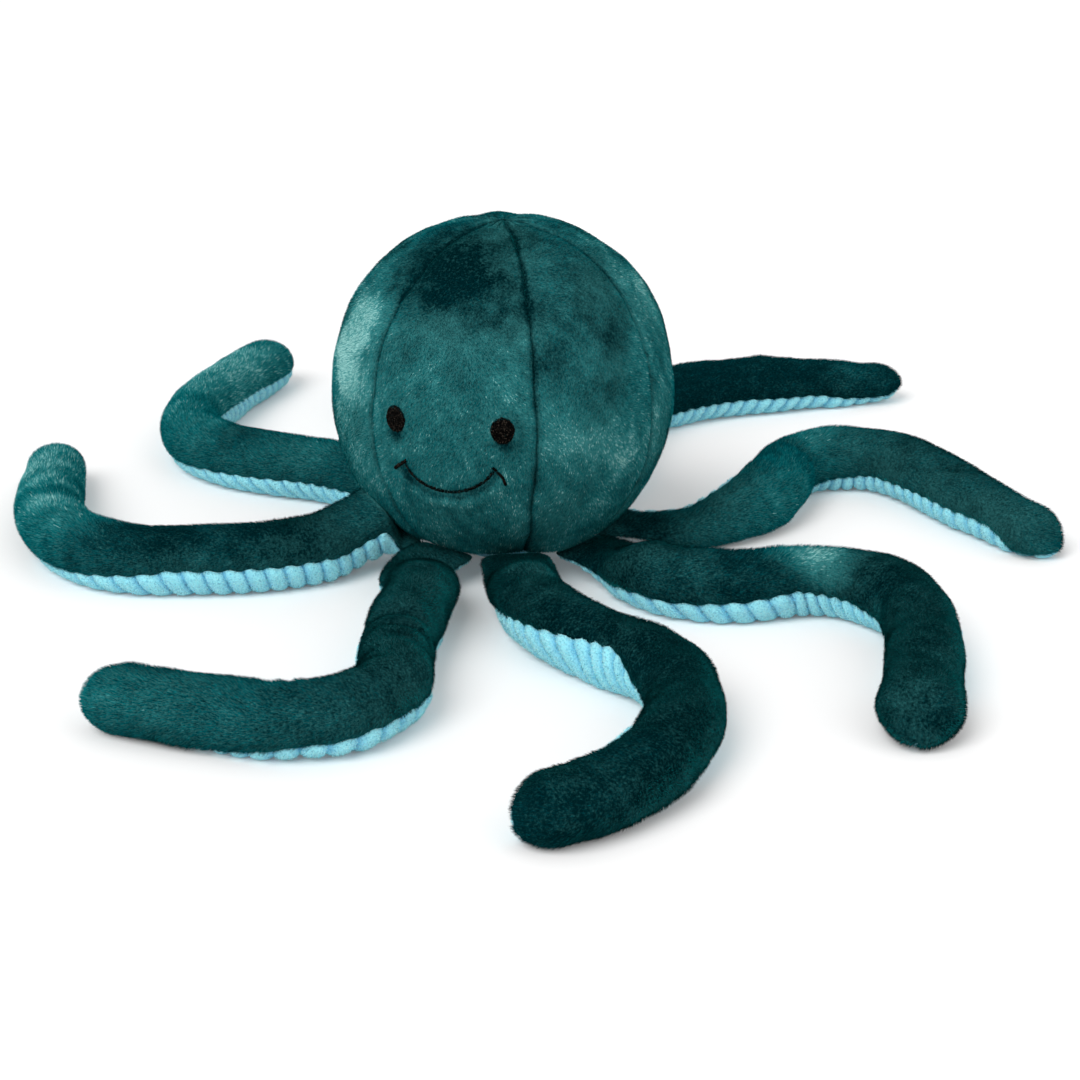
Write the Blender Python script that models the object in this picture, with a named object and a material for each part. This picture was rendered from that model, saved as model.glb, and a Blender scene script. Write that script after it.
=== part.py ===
"""Plush octopus: a stuffed ball of sewn gores with eight stuffed, curled arms.

Metres, +Z up. The toy rests on Z = 0, the origin is under the middle of its head
and bearings are counted from the front, -Y, towards +X.
"""
import math

import bmesh
import bpy
from mathutils import Vector

# Fabric and the room between pieces
PLUSH_THICKNESS = 0.0025
CORDUROY_THICKNESS = 0.0025
PIECE_GAP = 0.0003
SIDE_SEAM_GAP = 0.0005
FILL_CLEARANCE = 0.0006
FLOOR_CUT = 0.0005
WELD_DISTANCE = 0.0000001
SHARP_DEGREES = 50

# Head
HEAD_RADIUS = 0.0715
GORE_BULGE = 0.0014
SEAM_RING_RADIUS = 0.041
POLE_OPENING_RADIUS = 0.0008
FACE_BEARING = -18.0
FACE_GORE_DEGREES = 59.5
GORE_ROWS = 10
GORE_COLUMNS = 4
BASE_STEPS = 24
BASE_RINGS = 4

# Face, stitched through the front gore; places are measured along the fabric
EYE_SPREAD = 0.0228
EYE_RISE = 0.0048
EYE_WIDTH = 0.0096
EYE_HEIGHT = 0.0106
EYE_SEGMENTS = 16
SMILE_HALF_WIDTH = 0.0195
SMILE_DEPTH = 0.0100
SMILE_CORNER_DROP = 0.0136
SMILE_THREAD_WIDTH = 0.0020
SMILE_STEPS = 14
DIMPLE_LENGTH = 0.0080
DIMPLE_STEPS = 2
STITCH_HEIGHT = 0.0009
EYE_INNER_RING_SHARE = 0.5

# Arms
ARM_LENGTH = 0.280
ROOT_WIDTH = 0.0265
ROOT_FILL = 0.0010
MIDDLE_WIDTH = 0.0274
MIDDLE_HEIGHT = 0.0274
CLUB_WIDTH = 0.0290
CLUB_HEIGHT = 0.0245
SWELL_LENGTH = 0.060
CLUB_LENGTH = 0.110
LANDING_LENGTH = 0.036
TIP_LENGTH = 0.0150
FILL_START = 0.008
WALK_STEPS = 240
ROOT_ROWS = 2
BODY_ROWS = 12
TIP_ROWS = 3
HALF_COLUMNS = 5

# Each arm lies in its own curve. At every eighth of its length, headings say where
# it points, by bearing, and rolls say how far its side seams turn about it. The
# reach share is what its creases leave of its length.
ARMS = {
    "front": {
        "bearing": 7, "reach_share": 0.99,
        "headings": (7, 4, 24, 51, 25, -5, -25, -47, -72),
        "rolls": (0, 0, -6, -8, 20, -12, -45, -58, -62)},
    "front_right": {
        "bearing": 52, "reach_share": 0.96,
        "headings": (52, 16, 78, 111, 52, 5, -7, -10, -10),
        "rolls": (10, 25, 12, 0, 22, 8, -15, -20, -20)},
    "right": {
        "bearing": 97, "reach_share": 0.98,
        "headings": (97, 89, 146, 170, 112, 42, 26, 29, 48),
        "rolls": (40, 66, 55, 26, 14, 4, 2, 2, 10)},
    "back_right": {
        "bearing": 142, "reach_share": 0.98,
        "headings": (142, 162, 180, 171, 138, 117, 107, 105, 101),
        "rolls": (10, 10, 12, 15, 15, 15, 15, 20, 30)},
    "back": {
        "bearing": 187, "reach_share": 1.0,
        "headings": (187, 190, 205, 215, 200, 175, 160, 155, 165),
        "rolls": (0, 0, 0, 0, 0, 0, 0, 0, 0)},
    "back_left": {
        "bearing": -128, "reach_share": 1.0,
        "headings": (-128, -134, -111, -121, -164, -186, -195, -198, -196),
        "rolls": (0, -4, -4, -12, -30, -20, -16, -16, -14)},
    "left": {
        "bearing": -83, "reach_share": 0.98,
        "headings": (-83, -47, -65, -84, -132, -161, -172, -175, -164),
        "rolls": (5, 5, 5, 5, -25, -36, -32, -30, -36)},
    "front_left": {
        "bearing": -38, "reach_share": 0.97,
        "headings": (-38, 13, -10, -5, 4, -48, -110, -110, -122),
        "rolls": (0, 10, -12, -12, 0, -18, -36, -62, -66)},
}

# Sizes that follow from those above
HEAD_CENTRE_HEIGHT = HEAD_RADIUS - FLOOR_CUT
LINING_RADIUS = HEAD_RADIUS - GORE_BULGE - PLUSH_THICKNESS
ROOT_RADIUS = max(PLUSH_THICKNESS, CORDUROY_THICKNESS) + ROOT_FILL / 2
FILL_INSET = max(PLUSH_THICKNESS, CORDUROY_THICKNESS) + FILL_CLEARANCE
SEAM_RING_ANGLE = math.asin(SEAM_RING_RADIUS / HEAD_RADIUS)
HINGE_REACH = HEAD_RADIUS + ROOT_RADIUS + SIDE_SEAM_GAP / 2 + PIECE_GAP
HINGE_RADIUS = HINGE_REACH * math.sin(SEAM_RING_ANGLE)
HINGE_HEIGHT = HEAD_CENTRE_HEIGHT - HINGE_REACH * math.cos(SEAM_RING_ANGLE)


def material(name, colour, roughness):
    """Make a dull dyed cloth or thread."""
    made = bpy.data.materials.new(name)
    made.use_nodes = True
    shader = made.node_tree.nodes["Principled BSDF"]
    shader.inputs["Base Color"].default_value = (*colour, 1)
    shader.inputs["Roughness"].default_value = roughness
    shader.inputs["Metallic"].default_value = 0
    return made


def add_piece(name, mesh_builder, cloth, parent=None):
    """Turn a finished bmesh into a named object, smooth but for its edges."""
    bmesh.ops.remove_doubles(mesh_builder, verts=mesh_builder.verts, dist=WELD_DISTANCE)
    bmesh.ops.recalc_face_normals(mesh_builder, faces=mesh_builder.faces)
    mesh = bpy.data.meshes.new(name)
    mesh_builder.to_mesh(mesh)
    mesh_builder.free()
    mesh.shade_smooth()
    mesh.set_sharp_from_angle(angle=math.radians(SHARP_DEGREES))
    mesh.materials.append(cloth)
    piece = bpy.data.objects.new(name, mesh)
    bpy.context.scene.collection.objects.link(piece)
    piece.parent = parent
    return piece


def grid_of(rows, columns):
    """Start a grid whose points carry their place across and along it, 0 to 1."""
    grid = bmesh.new()
    bmesh.ops.create_grid(grid, x_segments=columns, y_segments=rows, size=1)
    across = grid.verts.layers.float.new("across")
    along = grid.verts.layers.float.new("along")
    for point in grid.verts:
        point[across] = (point.co.x + 1) / 2
        point[along] = (point.co.y + 1) / 2
    return grid, across, along


def shaped_sheet(rows, columns, outside, inside):
    """Shape a closed sheet of cloth from the places of its two sides."""
    sheet, across, along = grid_of(rows, columns)
    made = bmesh.ops.extrude_face_region(sheet, geom=sheet.faces[:], use_keep_orig=True)
    lining = {part for part in made["geom"] if isinstance(part, bmesh.types.BMVert)}
    for point in sheet.verts:
        side = inside if point in lining else outside
        point.co = side(point[across], point[along])
    return sheet


def cut_flat(shape, height):
    """Cut a shape flat at a height and close the cut."""
    floor = Vector((0, 0, height))
    everything = shape.verts[:] + shape.edges[:] + shape.faces[:]
    cut = bmesh.ops.bisect_plane(
        shape, geom=everything, plane_co=floor, plane_no=(0, 0, -1), clear_outer=True)
    rim = [part for part in cut["geom_cut"] if isinstance(part, bmesh.types.BMEdge)]
    open_rim = [edge for edge in rim if edge.is_boundary]
    bmesh.ops.holes_fill(shape, edges=open_rim, sides=0)


# Head

def on_head(bearing, polar, radius):
    """Place on a sphere about the middle of the head, the polar angle from its top."""
    level = radius * math.sin(polar)
    return Vector((
        level * math.sin(bearing),
        -level * math.cos(bearing),
        HEAD_CENTRE_HEIGHT + radius * math.cos(polar)))


def gore_spans():
    """Name, first bearing and width of every leaf of the ball, in degrees."""
    others = ("front_right", "right", "back_right", "back", "back_left", "left")
    width = (360 - FACE_GORE_DEGREES) / len(others)
    seam = FACE_BEARING + FACE_GORE_DEGREES / 2
    spans = [("face", FACE_BEARING - FACE_GORE_DEGREES / 2, FACE_GORE_DEGREES)]
    for index, name in enumerate(others):
        spans.append((name, seam + width * index, width))
    return spans


def head_gore(name, first_degrees, width_degrees, plush):
    """One leaf of the ball, from the crown to the ring where the arms are sewn in."""
    first = math.radians(first_degrees)
    width = math.radians(width_degrees)
    top = math.asin(POLE_OPENING_RADIUS / LINING_RADIUS)
    end = math.pi - SEAM_RING_ANGLE

    def side_of(radius, bulge):
        def place(across, along):
            polar = top + (end - top) * along
            swell = bulge * math.sin(math.pi * across) * math.sin(polar)
            seam_turn = math.asin(PIECE_GAP / 2 / (radius * math.sin(polar)))
            bearing = first + seam_turn + (width - 2 * seam_turn) * across
            return on_head(bearing, polar, radius + swell)
        return place

    outside = side_of(HEAD_RADIUS - GORE_BULGE, GORE_BULGE)
    inside = side_of(LINING_RADIUS, 0)
    leaf = shaped_sheet(GORE_ROWS, GORE_COLUMNS, outside, inside)
    return add_piece(f"gore_{name}", leaf, plush)


def base_panel(cloth):
    """The round dish of cloth that closes the ball inside the ring of arms."""
    edge_angle = SEAM_RING_ANGLE - PIECE_GAP / HEAD_RADIUS
    profile = bmesh.new()
    rim = []
    sides = (
        (HEAD_RADIUS, range(BASE_RINGS + 1)),
        (HEAD_RADIUS - CORDUROY_THICKNESS, reversed(range(BASE_RINGS + 1))))
    for radius, steps in sides:
        for step in steps:
            polar = math.pi - edge_angle * step / BASE_RINGS
            rim.append(profile.verts.new(on_head(0, polar, radius)))
    for start, stop in zip(rim, rim[1:]):
        profile.edges.new((start, stop))
    bmesh.ops.spin(
        profile, geom=profile.verts[:] + profile.edges[:], cent=(0, 0, 0),
        axis=(0, 0, 1), angle=math.tau, steps=BASE_STEPS, use_merge=True)
    bmesh.ops.remove_doubles(profile, verts=profile.verts, dist=WELD_DISTANCE)
    cut_flat(profile, 0)
    return add_piece("base_panel", profile, cloth)


def head_stuffing(fill):
    """The ball of fibre, each of its points behind one of the lining."""
    bearings = [math.radians(first + width * column / GORE_COLUMNS)
                for name, first, width in gore_spans() for column in range(GORE_COLUMNS)]
    end = math.pi - SEAM_RING_ANGLE
    polars = [end * row / GORE_ROWS for row in range(GORE_ROWS)]
    polars += [end + SEAM_RING_ANGLE * row / BASE_RINGS for row in range(BASE_RINGS + 1)]
    rows = len(polars) - 1
    ball, across, along = grid_of(rows, len(bearings))
    for point in ball.verts:
        bearing = bearings[round(point[across] * len(bearings)) % len(bearings)]
        polar = polars[round(point[along] * rows)]
        point.co = on_head(bearing, polar, LINING_RADIUS - FILL_CLEARANCE)
    return add_piece("head_stuffing", ball, fill)


# Face

def on_face(across, up):
    """Place on the front gore from distances along the cloth off its middle line."""
    bearing = math.radians(FACE_BEARING) + across / HEAD_RADIUS
    return on_head(bearing, math.pi / 2 - up / HEAD_RADIUS, HEAD_RADIUS)


def stitch_down(name, patch, thread, cloth_piece):
    """Lay a flat patch of thread on the cloth and give it its height."""
    piece = add_piece(name, patch, thread)
    lay = piece.modifiers.new("lay_on_cloth", "SHRINKWRAP")
    lay.target = cloth_piece
    lay.wrap_method = "PROJECT"
    lay.wrap_mode = "ABOVE_SURFACE"
    lay.use_negative_direction = True
    lay.use_positive_direction = True
    lay.offset = PIECE_GAP
    pile = piece.modifiers.new("thread_height", "SOLIDIFY")
    pile.thickness = STITCH_HEIGHT
    pile.offset = 1
    return piece


def eye(name, side, thread, cloth_piece):
    """An oval of satin stitch: a rim, an inner ring and a middle."""
    patch = bmesh.new()
    bmesh.ops.create_circle(
        patch, cap_ends=True, cap_tris=False, segments=EYE_SEGMENTS, radius=1)
    bmesh.ops.inset_region(patch, faces=patch.faces[:], thickness=1 - EYE_INNER_RING_SHARE)
    middle = min(patch.faces, key=lambda face: face.calc_center_median().length)
    bmesh.ops.poke(patch, faces=[middle])
    for point in patch.verts:
        across = side * EYE_SPREAD + point.co.x * EYE_WIDTH / 2
        up = EYE_RISE + point.co.y * EYE_HEIGHT / 2
        point.co = on_face(across, up)
    return stitch_down(name, patch, thread, cloth_piece)


def band(steps, centre_and_side):
    """A narrow band of thread along a line drawn on the face."""
    strip, across, along = grid_of(steps, 1)
    for point in strip.verts:
        centre, side = centre_and_side(point[along])
        place = centre + side * (point[across] - 1 / 2) * SMILE_THREAD_WIDTH
        point.co = on_face(place.x, place.y)
    return strip


def smile_arc():
    """Radius of the smile and half the angle that it spans."""
    radius = (SMILE_HALF_WIDTH ** 2 + SMILE_DEPTH ** 2) / (2 * SMILE_DEPTH)
    return radius, math.asin(SMILE_HALF_WIDTH / radius)


def smile(thread, cloth_piece):
    """The mouth: an arc of thread that hangs between its two corners."""
    radius, half_angle = smile_arc()
    middle = Vector((0, radius - SMILE_DEPTH - SMILE_CORNER_DROP))

    def centre_and_side(along):
        angle = half_angle * (2 * along - 1)
        outward = Vector((math.sin(angle), -math.cos(angle)))
        return middle + outward * radius, outward

    return stitch_down("smile", band(SMILE_STEPS, centre_and_side), thread, cloth_piece)


def dimple(name, side, thread, cloth_piece):
    """The short bar across a corner of the mouth, just clear of its end."""
    radius, half_angle = smile_arc()
    corner = Vector((side * SMILE_HALF_WIDTH, -SMILE_CORNER_DROP))
    outward = Vector((side * math.sin(half_angle), -math.cos(half_angle)))
    onward = Vector((side * math.cos(half_angle), math.sin(half_angle)))
    middle = corner + onward * (SMILE_THREAD_WIDTH / 2 + PIECE_GAP)

    def centre_and_side(along):
        return middle + outward * (along - 1 / 2) * DIMPLE_LENGTH, onward

    return stitch_down(name, band(DIMPLE_STEPS, centre_and_side), thread, cloth_piece)


# Arms

def ease(share):
    """Smooth step from 0 to 1."""
    share = min(max(share, 0), 1)
    return share * share * (3 - 2 * share)


def along_table(table, share):
    """Read a table that is given at even steps from 0 to 1."""
    place = min(max(share, 0), 1) * (len(table) - 1)
    index = min(int(place), len(table) - 2)
    part = place - index
    return table[index] * (1 - part) + table[index + 1] * part


class ArmRoute:
    """The middle line of an arm on the floor, in its hinge's own frame.

    The arm leaves the hinge along -Y. Distances are counted from the hinge.
    """

    def __init__(self, arm):
        self.arm = arm
        self.length = ARM_LENGTH * arm["reach_share"]
        self.tip_start = self.length - TIP_LENGTH
        self.step = self.length / WALK_STEPS
        self.points = [Vector((0, 0))]
        self.outer_side = [0]
        for index in range(WALK_STEPS):
            turn = abs(self.heading((index + 1) * self.step) - self.heading(index * self.step))
            middle_heading = self.heading((index + 1 / 2) * self.step)
            stride = Vector((math.sin(middle_heading), -math.cos(middle_heading)))
            self.points.append(self.points[-1] + stride * self.step)
            self.outer_side.append(self.outer_side[-1] + self.step + turn * MIDDLE_WIDTH)

    def heading(self, distance):
        degrees = along_table(self.arm["headings"], distance / self.length)
        return math.radians(degrees - self.arm["bearing"])

    def roll(self, distance):
        return math.radians(along_table(self.arm["rolls"], distance / self.length))

    def point(self, distance):
        """Place on the line, straight before the hinge."""
        if distance <= 0:
            return Vector((0, -distance))
        place = min(distance / self.step, WALK_STEPS)
        index = min(int(place), WALK_STEPS - 1)
        return self.points[index].lerp(self.points[index + 1], place - index)

    def body_rows(self):
        """Distances of the rows between the hinge and the tip, closer in the bends."""
        last = self.outer_side[int(self.tip_start / self.step)]
        rows = []
        for row in range(BODY_ROWS):
            wanted = last * (row + 1) / BODY_ROWS
            index = next(i for i, side in enumerate(self.outer_side) if side >= wanted)
            rows.append(index * self.step)
        rows[-1] = self.tip_start
        return rows


def full_half_width(route, distance):
    """Half the arm's width, before its tip is rounded."""
    swell = ease(distance / SWELL_LENGTH)
    club = ease((distance - route.tip_start + CLUB_LENGTH) / CLUB_LENGTH)
    middle = MIDDLE_WIDTH + (CLUB_WIDTH - MIDDLE_WIDTH) * club
    return (ROOT_WIDTH + (middle - ROOT_WIDTH) * swell) / 2


def full_half_height(route, distance):
    """Half the arm's height, before its root and tip are rounded."""
    swell = ease(distance / SWELL_LENGTH)
    club = ease((distance - route.tip_start + CLUB_LENGTH) / CLUB_LENGTH)
    middle = (MIDDLE_HEIGHT + (CLUB_HEIGHT - MIDDLE_HEIGHT) * club) / 2
    return ROOT_RADIUS + (middle - ROOT_RADIUS) * swell


def section_angles(route, distance, upper):
    """Angles of a row's points, from one side seam to the other."""
    start = route.roll(distance) + (0 if upper else math.pi)
    return [start + math.pi * column / HALF_COLUMNS for column in range(HALF_COLUMNS + 1)]


def middle_height(route, distance):
    """Height of the middle line over the floor: raised at the hinge, then lying."""
    distance = min(max(distance, 0), route.tip_start)
    angles = section_angles(route, distance, False)
    lowest = max(-math.sin(angle) for angle in angles)
    seam_drop = math.cos(route.roll(distance)) * SIDE_SEAM_GAP / 2
    lying = full_half_height(route, distance) * lowest + seam_drop - FLOOR_CUT
    root_lying = ROOT_RADIUS * max(-math.sin(a) for a in section_angles(route, 0, False))
    rise = HINGE_HEIGHT - root_lying - SIDE_SEAM_GAP / 2 + FLOOR_CUT
    return lying + rise * (1 - ease(distance / LANDING_LENGTH))


def section_point(route, distance, angle, inset, seam_shift):
    """Place on the arm's skin, or inside it by an inset, at an angle about its line."""
    rounding = 1
    if distance > route.tip_start:
        beyond = (distance - route.tip_start) / (TIP_LENGTH - inset)
        rounding = math.sqrt(max(1 - beyond * beyond, 0))
    half_width = (full_half_width(route, distance) - inset) * rounding
    half_height = (full_half_height(route, distance) - inset) * rounding
    if distance < 0:
        half_height = math.sqrt(max((ROOT_RADIUS - inset) ** 2 - distance ** 2, 0))
    heading = route.heading(max(distance, 0))
    side = Vector((math.cos(heading), math.sin(heading), 0))
    roll = route.roll(distance)
    centre = route.point(distance).to_3d()
    centre.z = middle_height(route, distance) - HINGE_HEIGHT
    sideways = half_width * math.cos(angle) - seam_shift * math.sin(roll)
    upward = half_height * math.sin(angle) + seam_shift * math.cos(roll)
    return centre + side * sideways + Vector((0, 0, upward))


def skin_rows(route, inset):
    """Distances of all rows of a skin surface, with round ends."""
    root_radius = ROOT_RADIUS - inset
    tip_radius = TIP_LENGTH - inset
    quarter = math.pi / 2
    root = [-root_radius * math.cos(quarter * row / ROOT_ROWS) for row in range(ROOT_ROWS)]
    tip = [route.tip_start + tip_radius * math.sin(quarter * (row + 1) / TIP_ROWS)
           for row in range(TIP_ROWS)]
    return root + [0] + route.body_rows() + tip


def arm_skin(name, route, upper, thickness, cloth, hinge):
    """The plush half or the corduroy half of an arm, seam to seam."""
    seam_shift = SIDE_SEAM_GAP / 2 if upper else -SIDE_SEAM_GAP / 2
    rows = len(skin_rows(route, 0)) - 1

    def side_of(inset):
        distances = skin_rows(route, inset)

        def place(across, along):
            distance = distances[round(along * rows)]
            angle = section_angles(route, distance, upper)[round(across * HALF_COLUMNS)]
            return section_point(route, distance, angle, inset, seam_shift)
        return place

    skin = shaped_sheet(rows, HALF_COLUMNS, side_of(0), side_of(thickness))
    bmesh.ops.remove_doubles(skin, verts=skin.verts, dist=WELD_DISTANCE)
    if not upper:
        cut_flat(skin, -HINGE_HEIGHT)
    return add_piece(name, skin, cloth, hinge)


def arm_stuffing(name, route, fill, hinge):
    """The fibre inside an arm: a closed tube that ends in points."""
    rows = [distance for distance in route.body_rows() if distance > FILL_START]
    tip_radius = TIP_LENGTH - FILL_INSET
    rows += [route.tip_start + tip_radius * math.sin(math.pi / 2 * (row + 1) / TIP_ROWS)
             for row in range(TIP_ROWS)]
    around = 2 * HALF_COLUMNS
    tube, across, along = grid_of(len(rows), around)
    for point in tube.verts:
        row = round(point[along] * len(rows))
        column = round(point[across] * around) % around
        if row == 0:
            point.co = route.point(FILL_START).to_3d()
            point.co.z = middle_height(route, FILL_START) - HINGE_HEIGHT
            continue
        distance = rows[row - 1]
        angle = route.roll(distance) + math.tau * column / around
        point.co = section_point(route, distance, angle, FILL_INSET, 0)
    return add_piece(name, tube, fill, hinge)


def arm(name, description, plush, corduroy, fill):
    """An arm on the hinge that its sewn root makes under the edge of the head."""
    bearing = math.radians(description["bearing"])
    hinge = bpy.data.objects.new(f"arm_{name}_hinge", None)
    bpy.context.scene.collection.objects.link(hinge)
    hinge.location = (
        HINGE_RADIUS * math.sin(bearing), -HINGE_RADIUS * math.cos(bearing), HINGE_HEIGHT)
    hinge.rotation_euler.z = bearing
    route = ArmRoute(description)
    arm_skin(f"arm_{name}_top", route, True, PLUSH_THICKNESS, plush, hinge)
    arm_skin(f"arm_{name}_underside", route, False, CORDUROY_THICKNESS, corduroy, hinge)
    arm_stuffing(f"arm_{name}_stuffing", route, fill, hinge)


def build():
    for old in list(bpy.data.objects):
        bpy.data.objects.remove(old)
    plush = material("teal_plush", (0.012, 0.105, 0.105), 0.85)
    corduroy = material("light_blue_corduroy", (0.22, 0.56, 0.74), 0.9)
    thread = material("black_thread", (0.008, 0.008, 0.01), 0.6)
    fill = material("white_fibre", (0.85, 0.85, 0.82), 1)

    leaves = [head_gore(*span, plush) for span in gore_spans()]
    face = leaves[0]
    base_panel(corduroy)
    head_stuffing(fill)

    for name, side in (("left", -1), ("right", 1)):
        eye(f"eye_{name}", side, thread, face)
        dimple(f"smile_corner_{name}", side, thread, face)
    smile(thread, face)

    for name, description in ARMS.items():
        arm(name, description, plush, corduroy, fill)


build()
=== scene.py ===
# %% [markdown]
# # A plush octopus, dressed
# The toy is a stuffed ball of seven sewn leaves with eight stuffed arms. The leaves and
# the upper half of each arm are short teal plush, the lower half is wide-ribbed light blue
# corduroy, and the face is stitched in black thread. The solid parts are ready and carry
# the sizes and the joints. This lesson lays the real cloth over them: skins that swell
# between their seams, a pile of fine fibres, ribs that can be counted, and thread.

import math

import bmesh
import bpy
import numpy as np
from mathutils import Euler, Matrix, Vector


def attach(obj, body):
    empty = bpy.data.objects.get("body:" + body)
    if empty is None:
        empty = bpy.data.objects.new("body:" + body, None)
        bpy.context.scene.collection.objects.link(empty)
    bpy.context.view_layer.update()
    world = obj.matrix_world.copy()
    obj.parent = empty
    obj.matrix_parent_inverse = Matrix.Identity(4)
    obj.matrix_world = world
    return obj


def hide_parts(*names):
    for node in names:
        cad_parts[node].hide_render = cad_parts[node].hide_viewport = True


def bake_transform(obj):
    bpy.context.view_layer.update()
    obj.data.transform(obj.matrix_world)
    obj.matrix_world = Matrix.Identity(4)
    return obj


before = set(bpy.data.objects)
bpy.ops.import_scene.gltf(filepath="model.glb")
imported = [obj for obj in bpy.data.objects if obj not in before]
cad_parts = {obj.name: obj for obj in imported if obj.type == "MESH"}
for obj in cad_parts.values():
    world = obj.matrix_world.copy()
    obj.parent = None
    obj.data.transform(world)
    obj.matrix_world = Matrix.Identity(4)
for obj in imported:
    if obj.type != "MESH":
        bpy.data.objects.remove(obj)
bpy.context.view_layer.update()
MM = 0.001

# %% [markdown]
# ## The camera
# The toy was photographed from a little above with a long lens, so that its near and far
# arms keep almost the same scale. A camera can be aimed with a constraint or by hand. Here
# it is only tipped about X, because the view has no roll and no turn.

# %% Camera
CAMERA_PLACE = (0.0145, -1.0577, 0.3890)
CAMERA_TIP_DEGREES = 20
CAMERA_LENS = 90.13
SENSOR_WIDTH = 36


def put_in_scene(made):
    bpy.context.scene.collection.objects.link(made)
    return made


def add_camera():
    lens = bpy.data.cameras.new("photo_camera")
    lens.lens = CAMERA_LENS
    lens.sensor_width = SENSOR_WIDTH
    lens.clip_start, lens.clip_end = 0.05, 50
    camera = put_in_scene(bpy.data.objects.new("photo_camera", lens))
    camera.location = CAMERA_PLACE
    camera.rotation_euler.x = math.radians(90 - CAMERA_TIP_DEGREES)
    bpy.context.scene.camera = camera


add_camera()
bpy.context.scene.view_settings.view_transform = "Standard"
print("camera height:", CAMERA_PLACE[2])

# %% [markdown]
# ## The measures of the toy
# The cloth has to lie where the solid parts are, so their measures come first: the ball,
# the ring where the arms are sewn in, and the curve of every arm on the floor. Lengths are
# in metres, bearings are counted from the front towards the right.

# %% Measures of head and arms
HEAD_RADIUS = 71.5 * MM
FLOOR_CUT = 0.5 * MM
HEAD_CENTRE = HEAD_RADIUS - FLOOR_CUT
FACE_BEARING = -18.0
FACE_GORE_DEGREES = 59.5
HINGE_RADIUS = 43.035664 * MM
HINGE_HEIGHT = 9.514765 * MM
ROOT_RADIUS = 3.0 * MM
SIDE_SEAM_GAP = 0.5 * MM
FLOOR_ROUNDING = 0.7 * MM
HEAD_PRESS = 0.3 * MM
ARM_LENGTH = 280 * MM
MIDDLE_SIZE = 27.4 * MM
CLUB_WIDTH = 29.0 * MM
CLUB_HEIGHT = 24.5 * MM
SWELL_LENGTH = 60 * MM
CLUB_LENGTH = 110 * MM
LANDING_LENGTH = 36 * MM
TIP_LENGTH = 15 * MM
WALK_STEPS = 240

# %% [markdown]
# ## Soft unevenness
# Stuffing is never even, and brushed pile is never one shade. Both are wanted as a smooth
# field that has a value at every point in space, so that two pieces that meet agree on it.
# A sum of a few dozen waves in seeded directions gives such a field quickly for a hundred
# thousand points at once.

# %% Smooth fields in space
def unevenness(points, size, seed, waves=28):
    """A smooth field of about -1 to 1 whose bumps are about the given size across."""
    rng = np.random.default_rng(seed)
    directions = unit(rng.normal(size=(waves, 3)))
    lengths = size * rng.uniform(0.75, 1.6, waves) * 2
    phases = rng.uniform(0, math.tau, waves)
    field = np.zeros(len(points))
    for direction, length, phase in zip(directions, lengths, phases):
        field += np.cos(points @ direction * (math.tau / length) + phase)
    return field / math.sqrt(waves)


def ease(share):
    """Smooth step from 0 to 1."""
    share = np.clip(share, 0, 1)
    return share * share * (3 - 2 * share)


def hump(distance, width):
    """1 at no distance, falling smoothly to 0 over about the given width."""
    return np.exp(-(distance / width) ** 2)


def unit(vectors):
    return vectors / np.linalg.norm(vectors, axis=1)[:, None]


def ahead_of(bearing):
    """The level direction of a bearing."""
    return np.stack([np.sin(bearing), -np.cos(bearing), bearing * 0], -1)


def beside(bearing):
    """The level direction to the right of a bearing's own."""
    return np.stack([np.cos(bearing), np.sin(bearing), bearing * 0], -1)


print("unevenness at the origin:", unevenness(np.zeros((1, 3)), 0.02, 1))

# %% [markdown]
# ## A sheet of cloth
# Every skin starts as a flat grid, as cloth comes off the roll. A grid operator makes it,
# and each of its points is then sent to its place on the toy. Values that the finish needs
# later, such as the painted sheen and shade of the pile there, travel with the points as
# attributes.

# %% Sheets from grids
WELD_DISTANCE = 0.002 * MM


def mesh_of(name, shape):
    mesh = bpy.data.meshes.new(name)
    shape.to_mesh(mesh)
    shape.free()
    return mesh


def add_object(name, mesh, materials):
    for material in materials:
        mesh.materials.append(material)
    return put_in_scene(bpy.data.objects.new(name, mesh))


def read(elements, field, kind=np.float32, width=3):
    """One field of a mesh's points, corners or faces, a row for each."""
    values = np.empty(len(elements) * width, kind)
    elements.foreach_get(field, values)
    return values.reshape(-1, width)


def sheet_of_cloth(name, columns, rows, place, turned=False):
    """Make a grid and send its points to their places; place also gives attributes."""
    grid = bmesh.new()
    bmesh.ops.create_grid(grid, x_segments=columns, y_segments=rows, size=1)
    mesh = mesh_of(name, grid)
    flat = read(mesh.vertices, "co")
    column = np.rint((flat[:, 0] + 1) / 2 * columns).astype(int)
    row = np.rint((flat[:, 1] + 1) / 2 * rows).astype(int)
    places, values = place(column, row)
    mesh.vertices.foreach_set("co", places.astype(np.float32).ravel())
    for key, value in values.items():
        kind, field = ("FLOAT_VECTOR", "vector") if value.ndim > 1 else ("FLOAT", "value")
        attribute = mesh.attributes.new(key, kind, "POINT")
        attribute.data.foreach_set(field, value.astype(np.float32).ravel())
    closing = bmesh.new()
    closing.from_mesh(mesh)
    bmesh.ops.remove_doubles(closing, verts=closing.verts, dist=WELD_DISTANCE)
    if turned:
        bmesh.ops.reverse_faces(closing, faces=closing.faces)
    closing.to_mesh(mesh)
    closing.free()
    mesh.shade_smooth()
    return mesh


# %% [markdown]
# ## Finishes
# A finish is a Principled shader with a few nodes before it. Shader maths reads best as
# ordinary expressions, so one small class wraps a socket and adds the Math nodes for them.

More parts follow.
